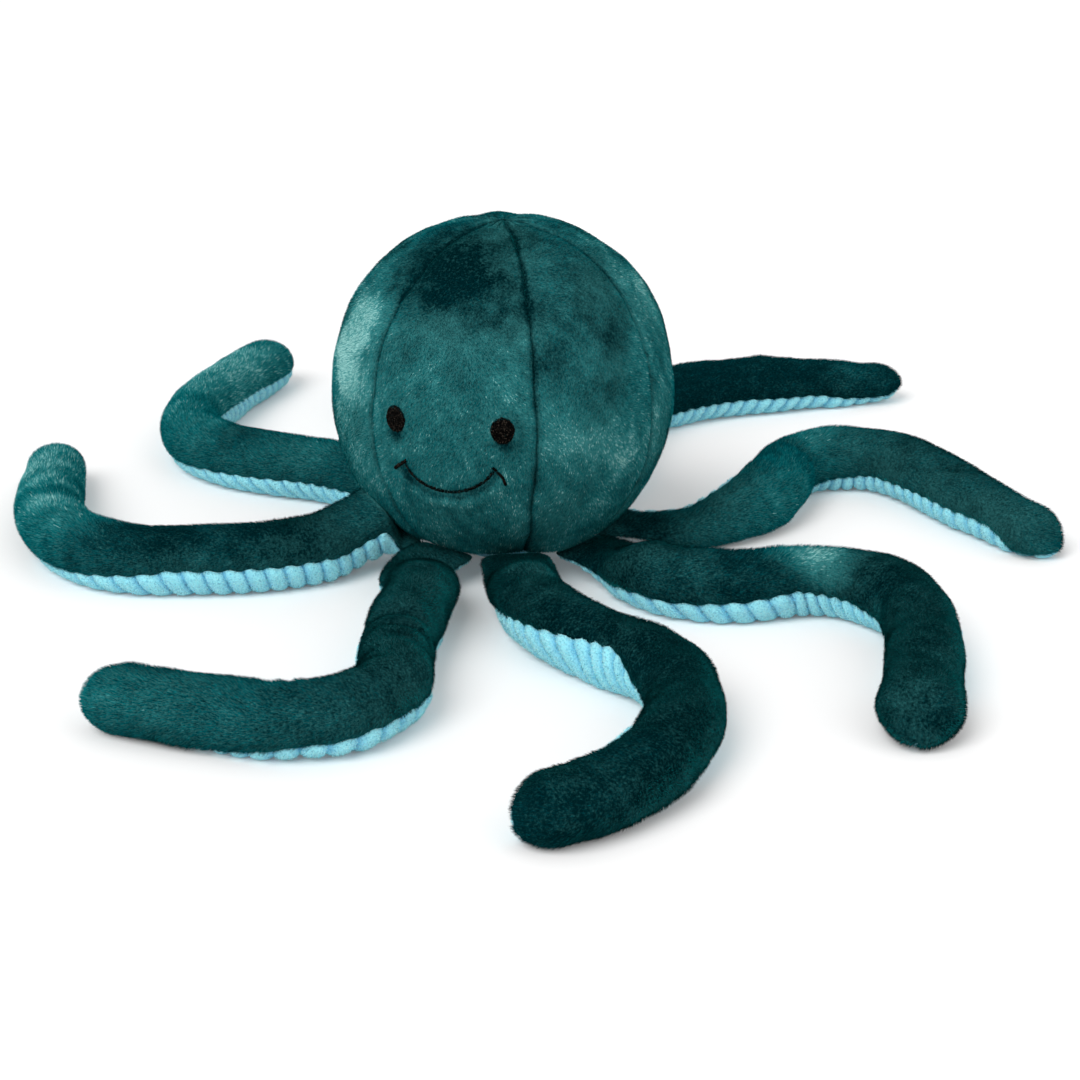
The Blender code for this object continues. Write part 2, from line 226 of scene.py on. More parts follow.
# %% Shader maths and finishes
class Value:
    """A socket that can be reckoned with."""

    def __init__(self, tree, socket):
        self.tree = tree
        self.socket = socket

    def reckon(self, operation, *values):
        node = self.tree.nodes.new("ShaderNodeMath")
        node.operation = operation
        for socket, value in zip(node.inputs, values):
            plug(self.tree, socket, value)
        return Value(self.tree, node.outputs[0])

    def __add__(self, other):
        return self.reckon("ADD", self, other)

    def __sub__(self, other):
        return self.reckon("SUBTRACT", self, other)

    def __mul__(self, other):
        return self.reckon("MULTIPLY", self, other)

    def sibling(self, output):
        """Another output of the same node."""
        return Value(self.tree, self.socket.node.outputs[output])


def plug(tree, socket, value):
    """Link a value to a socket, or write it there."""
    if isinstance(value, Value):
        tree.links.new(value.socket, socket)
    else:
        socket.default_value = value


def colour(red, green, blue):
    """A colour as a screen shows it, 0 to 255, for a shader's socket."""
    shares = [value / 255 for value in (red, green, blue)]
    return (*[share / 12.92 if share <= 0.04045 else ((share + 0.055) / 1.055) ** 2.4
              for share in shares], 1)


class Nodes:
    """A node tree that grows one node at a time."""

    def __init__(self, tree):
        self.tree = tree

    def node(self, kind, settings=None, values=None, output=0):
        """Add a node, with its settings first and then what goes into its sockets."""
        made = self.tree.nodes.new(kind)
        for key, value in (settings or {}).items():
            setattr(made, key, value)
        for key, value in (values or {}).items():
            plug(self.tree, made.inputs[key], value)
        return Value(self.tree, made.outputs[output])

    def grains(self, place, size, detail=2.0, roughness=0.5):
        """Noise whose grains are about the given size in metres."""
        return self.node("ShaderNodeTexNoise", {}, {
            "Vector": place, "Scale": 1 / size, "Detail": detail, "Roughness": roughness})


class Finish(Nodes):
    """A material and the nodes that feed its shader."""

    def __init__(self, name, base, roughness, **constants):
        self.material = bpy.data.materials.new(name)
        self.material.use_nodes = True
        super().__init__(self.material.node_tree)
        self.shader = self.tree.nodes["Principled BSDF"]
        self.shader.inputs["Base Color"].default_value = base
        self.shader.inputs["Roughness"].default_value = roughness
        for key, value in constants.items():
            self.socket(key).default_value = value

    def socket(self, key):
        return self.shader.inputs[key.replace("_", " ").title().replace("Ior", "IOR")]

    def attribute(self, name):
        return self.node("ShaderNodeAttribute", {"attribute_name": name}, output="Fac")

    def noise(self, size, detail=2.0, roughness=0.5):
        place = self.node("ShaderNodeTexCoord", output="Object")
        return self.grains(place, size, detail, roughness)

    def between(self, share, low, high):
        """A colour between two others."""
        return self.node("ShaderNodeMix", {"data_type": "RGBA"}, {0: share, 6: low, 7: high}, 2)

    def feed(self, **sockets):
        for key, value in sockets.items():
            plug(self.tree, self.socket(key), value)
        return self

    def relief(self, height, depth):
        """Raise the surface a little by a height of 0 to 1."""
        bump = self.node("ShaderNodeBump", {}, {
            "Height": height, "Strength": 1.0, "Distance": depth})
        return self.feed(Normal=bump)


# %% [markdown]
# ## Plush and its pile
# Plush is a knitted ground with a dense pile of soft fibres, brushed this way and that, so
# that one dyed colour shows as dark and light patches where the light falls on it. The ground
# is a skin with a dark, mottled finish. The pile is real: about a million thin blades that
# lean with the nap. Particle hair could do it too, but blades made by geometry nodes become
# an ordinary mesh. Six plain finishes, lit and shaded copies of the one teal from dark to
# light, are dealt out to the blades: they paint the sheen and shade of the brushed nap, with
# some grain at random.

# %% Plush ground and painted pile shades
# lit and shaded copies of the one teal, from dark to light: painted sheen and shade of the nap
PLUSH_LIT_AND_SHADED_TEALS = (
    (0, 37, 42), (0, 55, 61), (0, 80, 86), (16, 107, 111), (64, 144, 146), (158, 214, 210))
SHEEN_WEIGHTS = (0.26, 0.34, 0.42, 0.5, 0.6, 0.7)


def plush_ground():
    finish = Finish("plush_ground", colour(4, 60, 64), 0.9,
                    sheen_weight=0.3, sheen_roughness=0.25,
                    sheen_tint=colour(30, 180, 182), specular_ior_level=0.0)
    mottle = finish.noise(1.1 * MM, 3.0, 0.6)
    # the ground's lightness follows the nap's painted sheen and shade, with a random mottle
    lightness = finish.attribute("shade") * 0.9 + (mottle - 0.5) * 0.7
    cloth = finish.between(lightness, colour(0, 32, 36), colour(74, 156, 156))
    return finish.feed(Base_Color=cloth).relief(finish.noise(0.5 * MM, 2.0), 0.25 * MM).material


def painted_shade_set(name, shades, sheens, roughness, **constants):
    """A plain finish for each painted shade of one colour, from dark to light."""
    return [Finish(f"{name}_{index}", colour(*shade), roughness, sheen_weight=sheen,
                   **constants).material
            for index, (shade, sheen) in enumerate(zip(shades, sheens))]


PLUSH = plush_ground()
PLUSH_PAINTED_SHADE_FINISHES = painted_shade_set("plush_pile", PLUSH_LIT_AND_SHADED_TEALS, SHEEN_WEIGHTS, 0.75, sheen_roughness=0.22,
                     sheen_tint=colour(40, 190, 192), specular_ior_level=0.0)
print("pile dyes:", len(PLUSH_PAINTED_SHADE_FINISHES))

# %% [markdown]
# ## Planting the pile
# A geometry node group scatters points over a skin, stands a blade on each, leans it with
# the nap, and deals it one of the painted shades. Its result is taken as a plain mesh, so
# nothing live is left.

# %% Blade and planting
CLUMP_SIZE = 1.5 * MM
CLUMP_CONTRAST = 4.5
# painted glints: now and then a blade is dealt a lighter shade
PAINTED_GLINT = 0.7
PAINTED_GLINT_RARITY = 12.0
STRAY = 0.32
TWIST = 0.9
DYE_STRAY = 0.7
BLADE_SCALES = (0.55, 1.15)
CLOTH_SHARE = 0.7


def blade_object(name, length, width):
    """One fibre tuft: a single thin triangle that stands on its base."""
    blade = bmesh.new()
    bmesh.ops.create_circle(blade, cap_ends=True, cap_tris=False, segments=3, radius=1)
    upright = Matrix.Rotation(math.pi, 3, "Z") @ Matrix.Rotation(math.pi / 2, 3, "X")
    bmesh.ops.rotate(blade, verts=blade.verts, matrix=upright)
    lowest = min(point.co.z for point in blade.verts)
    bmesh.ops.translate(blade, verts=blade.verts, vec=(0, 0, -lowest))
    tallest = max(point.co.z for point in blade.verts)
    widest = max(abs(point.co.x) for point in blade.verts)
    bmesh.ops.scale(
        blade, verts=blade.verts, vec=(width / 2 / widest, 1, length / tallest))
    return bpy.data.objects.new(name, mesh_of(name, blade))


class PileNodes(Nodes):
    """A geometry node tree."""

    def __init__(self, name):
        super().__init__(bpy.data.node_groups.new(name, "GeometryNodeTree"))
        for direction in ("INPUT", "OUTPUT"):
            self.tree.interface.new_socket(
                "Geometry", in_out=direction, socket_type="NodeSocketGeometry")

    def named(self, name, kind="FLOAT"):
        return self.node("GeometryNodeInputNamedAttribute", {"data_type": kind}, {"Name": name})

    def marked(self, points, name, kind, value):
        """The points with one more value on each."""
        return self.node(
            "GeometryNodeStoreNamedAttribute", {"data_type": kind, "domain": "POINT"},
            {"Geometry": points, "Name": name, "Value": value})

    def random(self, low, high, seed):
        """A random number between two others, per point."""
        return self.node("FunctionNodeRandomValue", {"data_type": "FLOAT"},
                         {"Seed": seed, 2: low, 3: high}, 1)

    def added(self, first, second):
        return self.node("ShaderNodeVectorMath", {"operation": "ADD"}, {0: first, 1: second})

    def standing(self, normal, seed):
        """How a blade is turned: up with the nap, flat side to the cloth, a little astray."""
        stray = self.node("ShaderNodeCombineXYZ", {}, {
            axis: self.random(-STRAY, STRAY, seed + 1 + index) for index, axis in enumerate("XYZ")})
        way = self.added(self.added(normal, self.named("lean", "FLOAT_VECTOR")), stray)
        stand = self.node("FunctionNodeAlignRotationToVector", {"axis": "Z"}, {"Vector": way})
        faced = self.node("FunctionNodeAlignRotationToVector", {"axis": "Y", "pivot_axis": "Z"},
                          {"Rotation": stand, "Vector": normal})
        twist = self.node("FunctionNodeAxisAngleToRotation", {}, {
            "Axis": (0, 0, 1), "Angle": self.random(-TWIST, TWIST, seed + 4)})
        return self.node("FunctionNodeRotateRotation", {"rotation_space": "LOCAL"},
                         {"Rotation": faced, "Rotate By": twist})

    def dye(self, last_painted_shade, seed):
        """The number of a blade's painted shade: the nap's painted sheen and shade, its clump, a
        rare painted glint and chance.
        """
        shade = self.named("shade") * last_painted_shade
        clump = self.grains(self.node("GeometryNodeInputPosition"), CLUMP_SIZE, 2.0, 0.6) - 0.5
        chance = self.random(0.0, 1.0, seed + 7)
        # a rare blade is dealt a few shades lighter, a painted glint
        painted_glint = chance.reckon("POWER", chance, PAINTED_GLINT_RARITY) * shade * PAINTED_GLINT
        stray = self.random(-DYE_STRAY, DYE_STRAY, seed + 5)
        dealt = shade + clump * CLUMP_CONTRAST + painted_glint + stray
        kept = dealt.reckon("MINIMUM", dealt.reckon("MAXIMUM", dealt, 0), last_painted_shade)
        return self.node("FunctionNodeFloatToInt", {"rounding_mode": "ROUND"}, {0: kept})


def pile_nodes(name, blade, tufts_per_square_mm, seed, last_painted_shade):
    made = PileNodes(name)
    density = made.named("pile") * (tufts_per_square_mm / MM ** 2)
    scatter = made.node("GeometryNodeDistributePointsOnFaces", {"distribute_method": "RANDOM"},
                        {"Mesh": made.node("NodeGroupInput"), "Density": density, "Seed": seed})
    normal = scatter.sibling("Normal")
    outward = made.marked(scatter, "out", "FLOAT_VECTOR", normal)
    tuft = made.node("GeometryNodeObjectInfo", {}, {"Object": blade}, "Geometry")
    planted = made.node("GeometryNodeInstanceOnPoints", {}, {
        "Points": made.marked(outward, "dye", "INT", made.dye(last_painted_shade, seed)), "Instance": tuft,
        "Rotation": made.standing(normal, seed), "Scale": made.random(*BLADE_SCALES, seed + 6)})
    real = made.node("GeometryNodeRealizeInstances", {}, {"Geometry": planted})
    dyed = made.node("GeometryNodeSetMaterialIndex", {}, {
        "Geometry": real, "Material Index": made.named("dye", "INT")})
    plug(made.tree, made.tree.nodes.new("NodeGroupOutput").inputs[0], dyed)
    return made.tree


def shade_as_cloth(mesh, share):
    """Turn the blades' normals a share of the way to the cloth's, as dense pile shades."""
    outward = read(mesh.attributes["out"].data, "vector")
    corners = read(mesh.loops, "vertex_index", np.int32, 1)[:, 0]
    own = np.repeat(read(mesh.polygons, "normal"), 3, axis=0)
    normals = unit(outward[corners] * share + own * (1 - share))
    mesh.shade_smooth()
    mesh.normals_split_custom_set(normals.tolist())


def plant_pile(name, skin, kind, seed):
    """Grow the pile of a skin as a mesh of its own."""
    blade, tufts_per_square_mm, painted_shade_finishes = kind
    tree = pile_nodes(f"{name}_nodes", blade, tufts_per_square_mm, seed, len(painted_shade_finishes) - 1)
    growing = skin.modifiers.new("pile", "NODES")
    growing.node_group = tree
    evaluated = skin.evaluated_get(bpy.context.evaluated_depsgraph_get())
    mesh = bpy.data.meshes.new_from_object(evaluated)
    skin.modifiers.remove(growing)
    bpy.data.node_groups.remove(tree)
    shade_as_cloth(mesh, CLOTH_SHARE)
    for attribute in ("dye", "lean", "shade", "pile", "out", "groove"):
        if attribute in mesh.attributes:
            mesh.attributes.remove(mesh.attributes[attribute])
    mesh.name = name
    mesh.materials[0] = painted_shade_finishes[0]
    return add_object(name, mesh, painted_shade_finishes[1:])


def add_cloth(skin_name, pile_name, size, place, cloth, kind, seed, turned=False):
    """A skin of so many columns and rows, and its pile."""
    mesh = sheet_of_cloth(skin_name, *size, place, turned)
    skin = add_object(skin_name, mesh, [cloth])
    pile = plant_pile(pile_name, skin, kind, seed)
    print(skin_name, len(mesh.polygons), "faces and", len(pile.data.polygons), "tufts")
    return skin, pile


# a kind of pile is its tuft, how many of them stand on a square millimetre, and its painted shades
HEAD_PILE = (blade_object("head_tuft", 1.1 * MM, 0.20 * MM), 6.5, PLUSH_PAINTED_SHADE_FINISHES)
ARM_PILE = (blade_object("arm_tuft", 1.8 * MM, 0.22 * MM), 5.0, PLUSH_PAINTED_SHADE_FINISHES)

# %% [markdown]
# ## The head
# Seven leaves of plush are sewn edge to edge and stuffed, so each leaf swells and each
# seam sinks into a valley with a dark line at its bottom; the shade along each valley is
# also painted darker into the nap. A displaced ball could fake the valleys, but separate
# leaves, with their edges turned in as a seam allowance, give real lines. The ball is a
# little flatter than round and leans to its right side.

# %% Head form
HEAD_PROFILE = ((0, 69.9), (15, 70.3), (32, 70.7), (51, 70.6), (60, 70.2), (70, 69.5),
                (80, 69.0), (90, 68.8), (105, 69.2), (120, 69.9), (135, 70.7), (146, 71.2))
HEAD_LEAN = -0.8 * MM
SEAM_TURN_IN = 2.4 * MM
degrees, radii = zip(*HEAD_PROFILE)
PROFILE = np.polynomial.Polynomial.fit(np.radians(degrees), np.array(radii) * MM, 6)


def seam_wobble(seam, polar):
    """How far a seam strays from its meridian, in metres along the cloth."""
    line = np.stack([polar * 0.07, np.full_like(polar, seam * 0.31), polar * 0], -1)
    return 0.30 * MM * unevenness(line, 0.011, 31) + 0.12 * MM * unevenness(line, 0.003, 32)


def on_head(bearing, polar, radius):
    """Places on the head from angles in radians and a distance from its middle."""
    level = radius * np.sin(polar)
    return np.stack([
        level * np.sin(bearing) + HEAD_LEAN * np.sin(polar) ** 2,
        -level * np.cos(bearing),
        HEAD_CENTRE + radius * np.cos(polar)], -1)


GORE_DEGREES = (360 - FACE_GORE_DEGREES) / 6
FIRST_SEAM = FACE_BEARING - FACE_GORE_DEGREES / 2
SEAMS = [FIRST_SEAM] + [
    FIRST_SEAM + FACE_GORE_DEGREES + GORE_DEGREES * index for index in range(6)]
GORE_NAMES = ("face", "front_right", "right", "back_right", "back", "back_left", "left")
print("seams at", [round(seam, 1) for seam in SEAMS])

# %% [markdown]
# ## The face, first as relief
# Dense stitching pulls the plush down. Round each eye lies a shallow dish and along the
# smile a groove with a soft swelling below it. The relief is part of the leaf's form, and
# no pile grows where thread lies. Distances are measured along the cloth from the middle
# of the face.

# %% Face relief
EYES = {"left": (-22.9 * MM, 3.4 * MM), "right": (23.4 * MM, 2.7 * MM)}
EYE_HALF_WIDTH = 4.7 * MM
EYE_HALF_HEIGHT = 5.3 * MM
SMILE_HALF_WIDTH = 19.5 * MM
SMILE_DEPTH = 10.0 * MM
SMILE_CORNER_DROP = 16.0 * MM
SMILE_RADIUS = (SMILE_HALF_WIDTH ** 2 + SMILE_DEPTH ** 2) / (2 * SMILE_DEPTH)
SMILE_HALF_ANGLE = math.asin(SMILE_HALF_WIDTH / SMILE_RADIUS)
SMILE_MIDDLE_UP = SMILE_RADIUS - SMILE_DEPTH - SMILE_CORNER_DROP


def cloth_place(bearing, polar):
    """Distances across and up the face from its middle."""
    return ((bearing - math.radians(FACE_BEARING)) * HEAD_RADIUS,
            (math.pi / 2 - polar) * HEAD_RADIUS)


def smile_distance(across, up):
    """Distance outside the smile's arc, and how far a point is along it, -1 to 1."""
    angle = np.arctan2(across, SMILE_MIDDLE_UP - up)
    outside = np.hypot(across, up - SMILE_MIDDLE_UP) - SMILE_RADIUS
    return outside, angle / SMILE_HALF_ANGLE


def face_relief(bearing, polar):
    """Height of the face over the plain leaf, and where pile may grow."""
    across, up = cloth_place(bearing, polar)
    outside, along = smile_distance(across, up)
    on_smile = 1 - ease((np.abs(along) - 0.97) / 0.12)
    height = -1.0 * MM * hump(outside, 1.7 * MM) * on_smile
    height += 0.75 * MM * hump(outside - 5.5 * MM, 3.2 * MM) * on_smile
    growth = 1 - hump(outside, 0.75 * MM) * on_smile
    for eye_across, eye_up in EYES.values():
        reach = np.hypot((across - eye_across) / EYE_HALF_WIDTH, (up - eye_up) / EYE_HALF_HEIGHT)
        height -= 0.75 * MM * hump(reach, 1.35)
        growth *= ease((reach - 0.98) / 0.12)
    for side in (-1, 1):
        corner = np.hypot(across - side * (SMILE_HALF_WIDTH + 0.6 * MM), up + SMILE_CORNER_DROP)
        height -= 0.7 * MM * hump(corner, 2.6 * MM)
    return height, growth


# %% [markdown]
# ## Painted sheen and shade of the nap
# On this toy the nap's light and dark patches are few and large: the sheen and shade of
# brushed pile where the light falls on it, with lit rims among them. They are painted into
# the pile's shade as a short list of patches, each with its place, its size and how much
# lighter or darker it is, over a little seeded unevenness.

# %% Painted sheen and shade of the head
# bearing, elevation, half width and half height in degrees, and how much lighter it is painted
HEAD_PAINTED_SHEEN_AND_SHADE = (
    (-69, 25, 10, 13, 0.75), (-60, 31, 5, 8, 0.30), (-63, 9, 9, 12, 0.52),
    (-62, 52, 10, 10, -0.08), (-18, 63, 30, 20, -0.38), (-14, 47, 22, 10, -0.18),
    (-37, 58, 13, 15, -0.24), (-30, 44, 10, 8, -0.14),
    (-5, 38, 12, 7, -0.20), (-34, 46, 9, 9, -0.10), (-38, 27, 9, 6, 0.06),
    (-22, 22, 16, 10, -0.10), (-20, 4, 13, 8, -0.04), (-46, 8, 4, 12, 0.06),
    (-60, -14, 10, 9, 0.16), (8, -40, 16, 9, 0.04),
    (-12, -22, 13, 4, -0.04), (30, 66, 6, 7, 0.10), (21, 53, 5, 8, 0.14),
    (54, 60, 8, 9, -0.08), (34, 40, 20, 14, -0.20), (43, 29, 8, 6, -0.22),
    (20, 27, 9, 7, -0.24), (34, 13, 16, 7, -0.20), (28, -6, 15, 8, 0.22),
    (46, -15, 8, 8, 0.24), (20, -22, 8, 7, 0.02), (42, -38, 14, 9, 0.04),
    (80, 35, 8, 12, 0.36), (66, 19, 6, 8, -0.04), (64, -4, 6, 9, 0.30),
    (120, 30, 16, 16, 0.12), (160, 10, 16, 18, -0.16),
    (200, 40, 14, 14, 0.14), (235, 5, 16, 14, -0.14), (250, 35, 14, 12, 0.14))
HEAD_SHADE = 0.52


def painted_light_patch(away, amount):
    """What a painted patch adds to the shade, lighter or darker by its amount, from how far off its
    middle is.
    """
    return amount * np.exp(-np.maximum(away, 0) ** 2)


def head_shade(bearing, polar, points):
    elevation = 90 - np.degrees(polar)
    shade = HEAD_SHADE + 0.07 * unevenness(points, 9 * MM, 41)
    shade += 0.06 * unevenness(points, 3.2 * MM, 42)
    stray = 0.15 * unevenness(points, 8 * MM, 43)
    for patch_bearing, patch_elevation, width, height, amount in HEAD_PAINTED_SHEEN_AND_SHADE:
        turn = (np.degrees(bearing) - patch_bearing + 180) % 360 - 180
        turn = turn * np.cos(np.radians(elevation))
        shade += painted_light_patch(
            np.hypot(turn / width, (elevation - patch_elevation) / height) + stray, amount)
    return shade


def face_painted_light(bearing, polar):
    """Painted shadow below each eye and in the smile's groove, and a painted highlight on the
    swelling below the smile.
    """
    across, up = cloth_place(bearing, polar)
    outside, along = smile_distance(across, up)
    on_smile = 1 - ease((np.abs(along) - 0.95) / 0.2)
    shade = -0.38 * hump(outside - 1.9 * MM, 1.4 * MM) * on_smile
    shade += 0.12 * hump(outside - 5.5 * MM, 2.0 * MM) * on_smile
    for eye_across, eye_up in EYES.values():
        below = np.hypot((across - eye_across - 0.5 * MM) / (5.0 * MM),
                         (up - eye_up + 5.8 * MM) / (2.8 * MM))
        shade -= 0.5 * np.exp(-below ** 2)
    return shade


# %% [markdown]
# ## The seven leaves
# A leaf is a grid in bearing and in angle from the crown. Three columns on each side run
# inwards, as the seam allowance does.

# %% Leaves
GORE_COLUMNS = 60
GORE_ROWS = 150
ALLOWANCE_COLUMNS = 3
POLE_ANGLE = math.radians(0.7)
LEAF_END_DEGREES = 149
LEAF_SWELL = 0.9 * MM
LEAF_INSET = 0.5 * MM
SEAM_DEPTH = 1.0 * MM
SEAM_DIP = 0.4 * MM
RING_PULL = 2.0 * MM


def sewn_columns(column, columns):
    """How far across the cloth each column lies, 0 to 1, and how far it is turned in."""
    inner = column - ALLOWANCE_COLUMNS
    span = columns - 2 * ALLOWANCE_COLUMNS
    turned = np.maximum(-inner, inner - span).clip(0) / ALLOWANCE_COLUMNS
    return np.clip(inner / span, 0, 1), turned


def leaf_place(index):
    first = SEAMS[index]
    last = SEAMS[(index + 1) % 7] + (360 if index == 6 else 0)
    is_face = index == 0

    def seam_at(seam, degrees, polar):
        stray = seam_wobble(seam, polar) / HEAD_RADIUS / np.maximum(np.sin(polar), 0.15)
        return math.radians(degrees) + stray

    def place(column, row):
        share, turned = sewn_columns(column, GORE_COLUMNS)
        polar = POLE_ANGLE + (math.radians(LEAF_END_DEGREES) - POLE_ANGLE) * row / GORE_ROWS
        level = np.sin(polar)
        start = seam_at(index, first, polar)
        end = seam_at((index + 1) % 7, last, polar)
        bearing = start + (end - start) * share
        from_seam = np.minimum(share, 1 - share) * (end - start) * (HEAD_RADIUS * level)
        radius = PROFILE(polar)
        radius = radius + LEAF_SWELL * np.sin(math.pi * share) ** 0.8 * level ** 0.5 - LEAF_INSET
        radius = radius - SEAM_DEPTH * hump(from_seam, 0.9 * MM) * np.minimum(level * 4, 1)
        radius = radius - SEAM_DIP * hump(from_seam, 4.0 * MM)
        plain = on_head(bearing, polar, radius)
        radius = radius + 0.45 * MM * unevenness(plain, 16 * MM, 11)
        radius = radius + 0.10 * MM * unevenness(plain, 4.5 * MM, 12)
        radius = radius + 0.35 * MM * (np.cos(bearing * 23 + 1.3) * hump(polar - 0.13, 0.09))
        growth = ease((from_seam - 0.2 * MM) / (0.3 * MM)) * (turned == 0)
        if is_face:
            height, face_growth = face_relief(bearing, polar)
            radius = radius + height
            growth = growth * face_growth
        ring = ease((np.degrees(polar) - LEAF_END_DEGREES + 4.5) / 2.5)
        radius = radius - RING_PULL * ring - SEAM_TURN_IN * turned
        places = on_head(bearing, polar, radius)
        down = unit(on_head(bearing, polar + 0.01, radius) - places)
        swirl = unevenness(places, 15 * MM, 21)[:, None]
        aside = beside(bearing) * 0.9 * unevenness(places, 18 * MM, 22)[:, None]
        shade = head_shade(bearing, polar, places)
        # the face's painted shadows below the eyes and smile, and painted highlight on the swelling
        if is_face:
            shade = shade + face_painted_light(bearing, polar)
        # painted shade along the bottom of each seam valley
        shade = shade - 0.35 * hump(from_seam, 1.3 * MM)
        return places, {"shade": np.clip(shade, 0, 1), "pile": growth,
                        "lean": down * (1.1 + 0.5 * swirl) + aside}
    return place


LEAVES = {name: add_cloth(f"plush_{name}", f"pile_{name}", (GORE_COLUMNS, GORE_ROWS),
                          leaf_place(index), PLUSH, HEAD_PILE, 100 + 10 * index, turned=True)
          for index, name in enumerate(GORE_NAMES)}

# %% [markdown]
# ## The line of an arm
# Each arm is cut straight and lies in a curve. Its middle line is walked in small steps
# along headings, and the two side seams roll about that line.

# %% Arm lines
# for each arm: its bearing at the head, its share of the full length, and its headings and
# seam rolls in degrees, both spread evenly from root to tip
ARMS = {
    "front": (7, 0.99, (7, 4, 24, 51, 25, -5, -25, -47, -72),
              (0, 11, 22, 5, -12, -24, -35, -38, 4, 4, -4, -22, -45, -52, -58, -60, -62)),
    "front_right": (52, 0.96, (52, 16, 78, 111, 52, 5, -7, -10, -10),
                    (0, 14, 12, -8, 6, 24, 10, -5, -10)),
    "right": (97, 0.98, (97, 89, 146, 170, 112, 42, 26, 29, 48),
              (40, 66, 57, 32, 23, 11, 1, -4, -4)),
    "back_right": (142, 0.98, (142, 162, 180, 171, 138, 117, 107, 105, 101),
                   (10, 10, 12, 15, 13, 10, 8, 8, 12)),
    "back": (187, 1.0, (187, 190, 205, 215, 200, 175, 160, 155, 165), (0,)),
    "back_left": (-128, 1.0, (-128, -134, -111, -121, -164, -186, -195, -198, -196),
                  (0, -4, -4, -12, -28, -12, -3, 0, 0)),
    "left": (-83, 0.98, (-83, -47, -65, -84, -132, -161, -172, -175, -164),
             (5, 5, 5, 5, -22, -28, -26, -26, -30)),
    "front_left": (-38, 0.97, (-38, 13, -10, -5, 4, -48, -110, -110, -122),
                   (0, -6, -18, -20, -8, -4, -36, -62, -66))}
# how far the plush reaches down past the side seams, at the tips and on the body, in degrees,
# and over how many millimetres behind the tip it grows
TIP_WRAPS = {"front": 45, "front_right": 86, "right": 60, "back_right": 25, "back": 10,
             "back_left": 14, "left": 50, "front_left": 25}
BODY_WRAP = 8
WRAP_LENGTHS = {"left": 130, "right": 12, "front_right": 50}
TIP_TAPERS = {"back_right": 0.26, "right": 0.16, "left": 0.2}
TAPER_LENGTH = 75 * MM
# how many millimetres behind its flat sewn root each arm is full
FULL_LENGTHS = {"front": 48, "front_right": 50, "right": 75, "back_right": 58, "back": 30,
                "back_left": 24, "left": 9, "front_left": 58}
# how far an arm is pulled to the back: distance along it and shift, in millimetres
ARM_PULLS = {"left": ((0, -10), (35, -14), (62, -9), (90, -2), (105, 0)),
             "back_left": ((0, 4), (35, 2), (75, 0))}
TIP_SINKS = {"front_right": 0.6, "right": 0.6, "front": 0.3, "left": 0.3}
SEWN_ROOT_WIDTH = 29.0 * MM
ROOT_REACH = 8 * MM
TURNING_REACH = 7 * MM
ROOT_FULLNESS = 0.45
ROOT_FULLNESS_LENGTH = 20 * MM


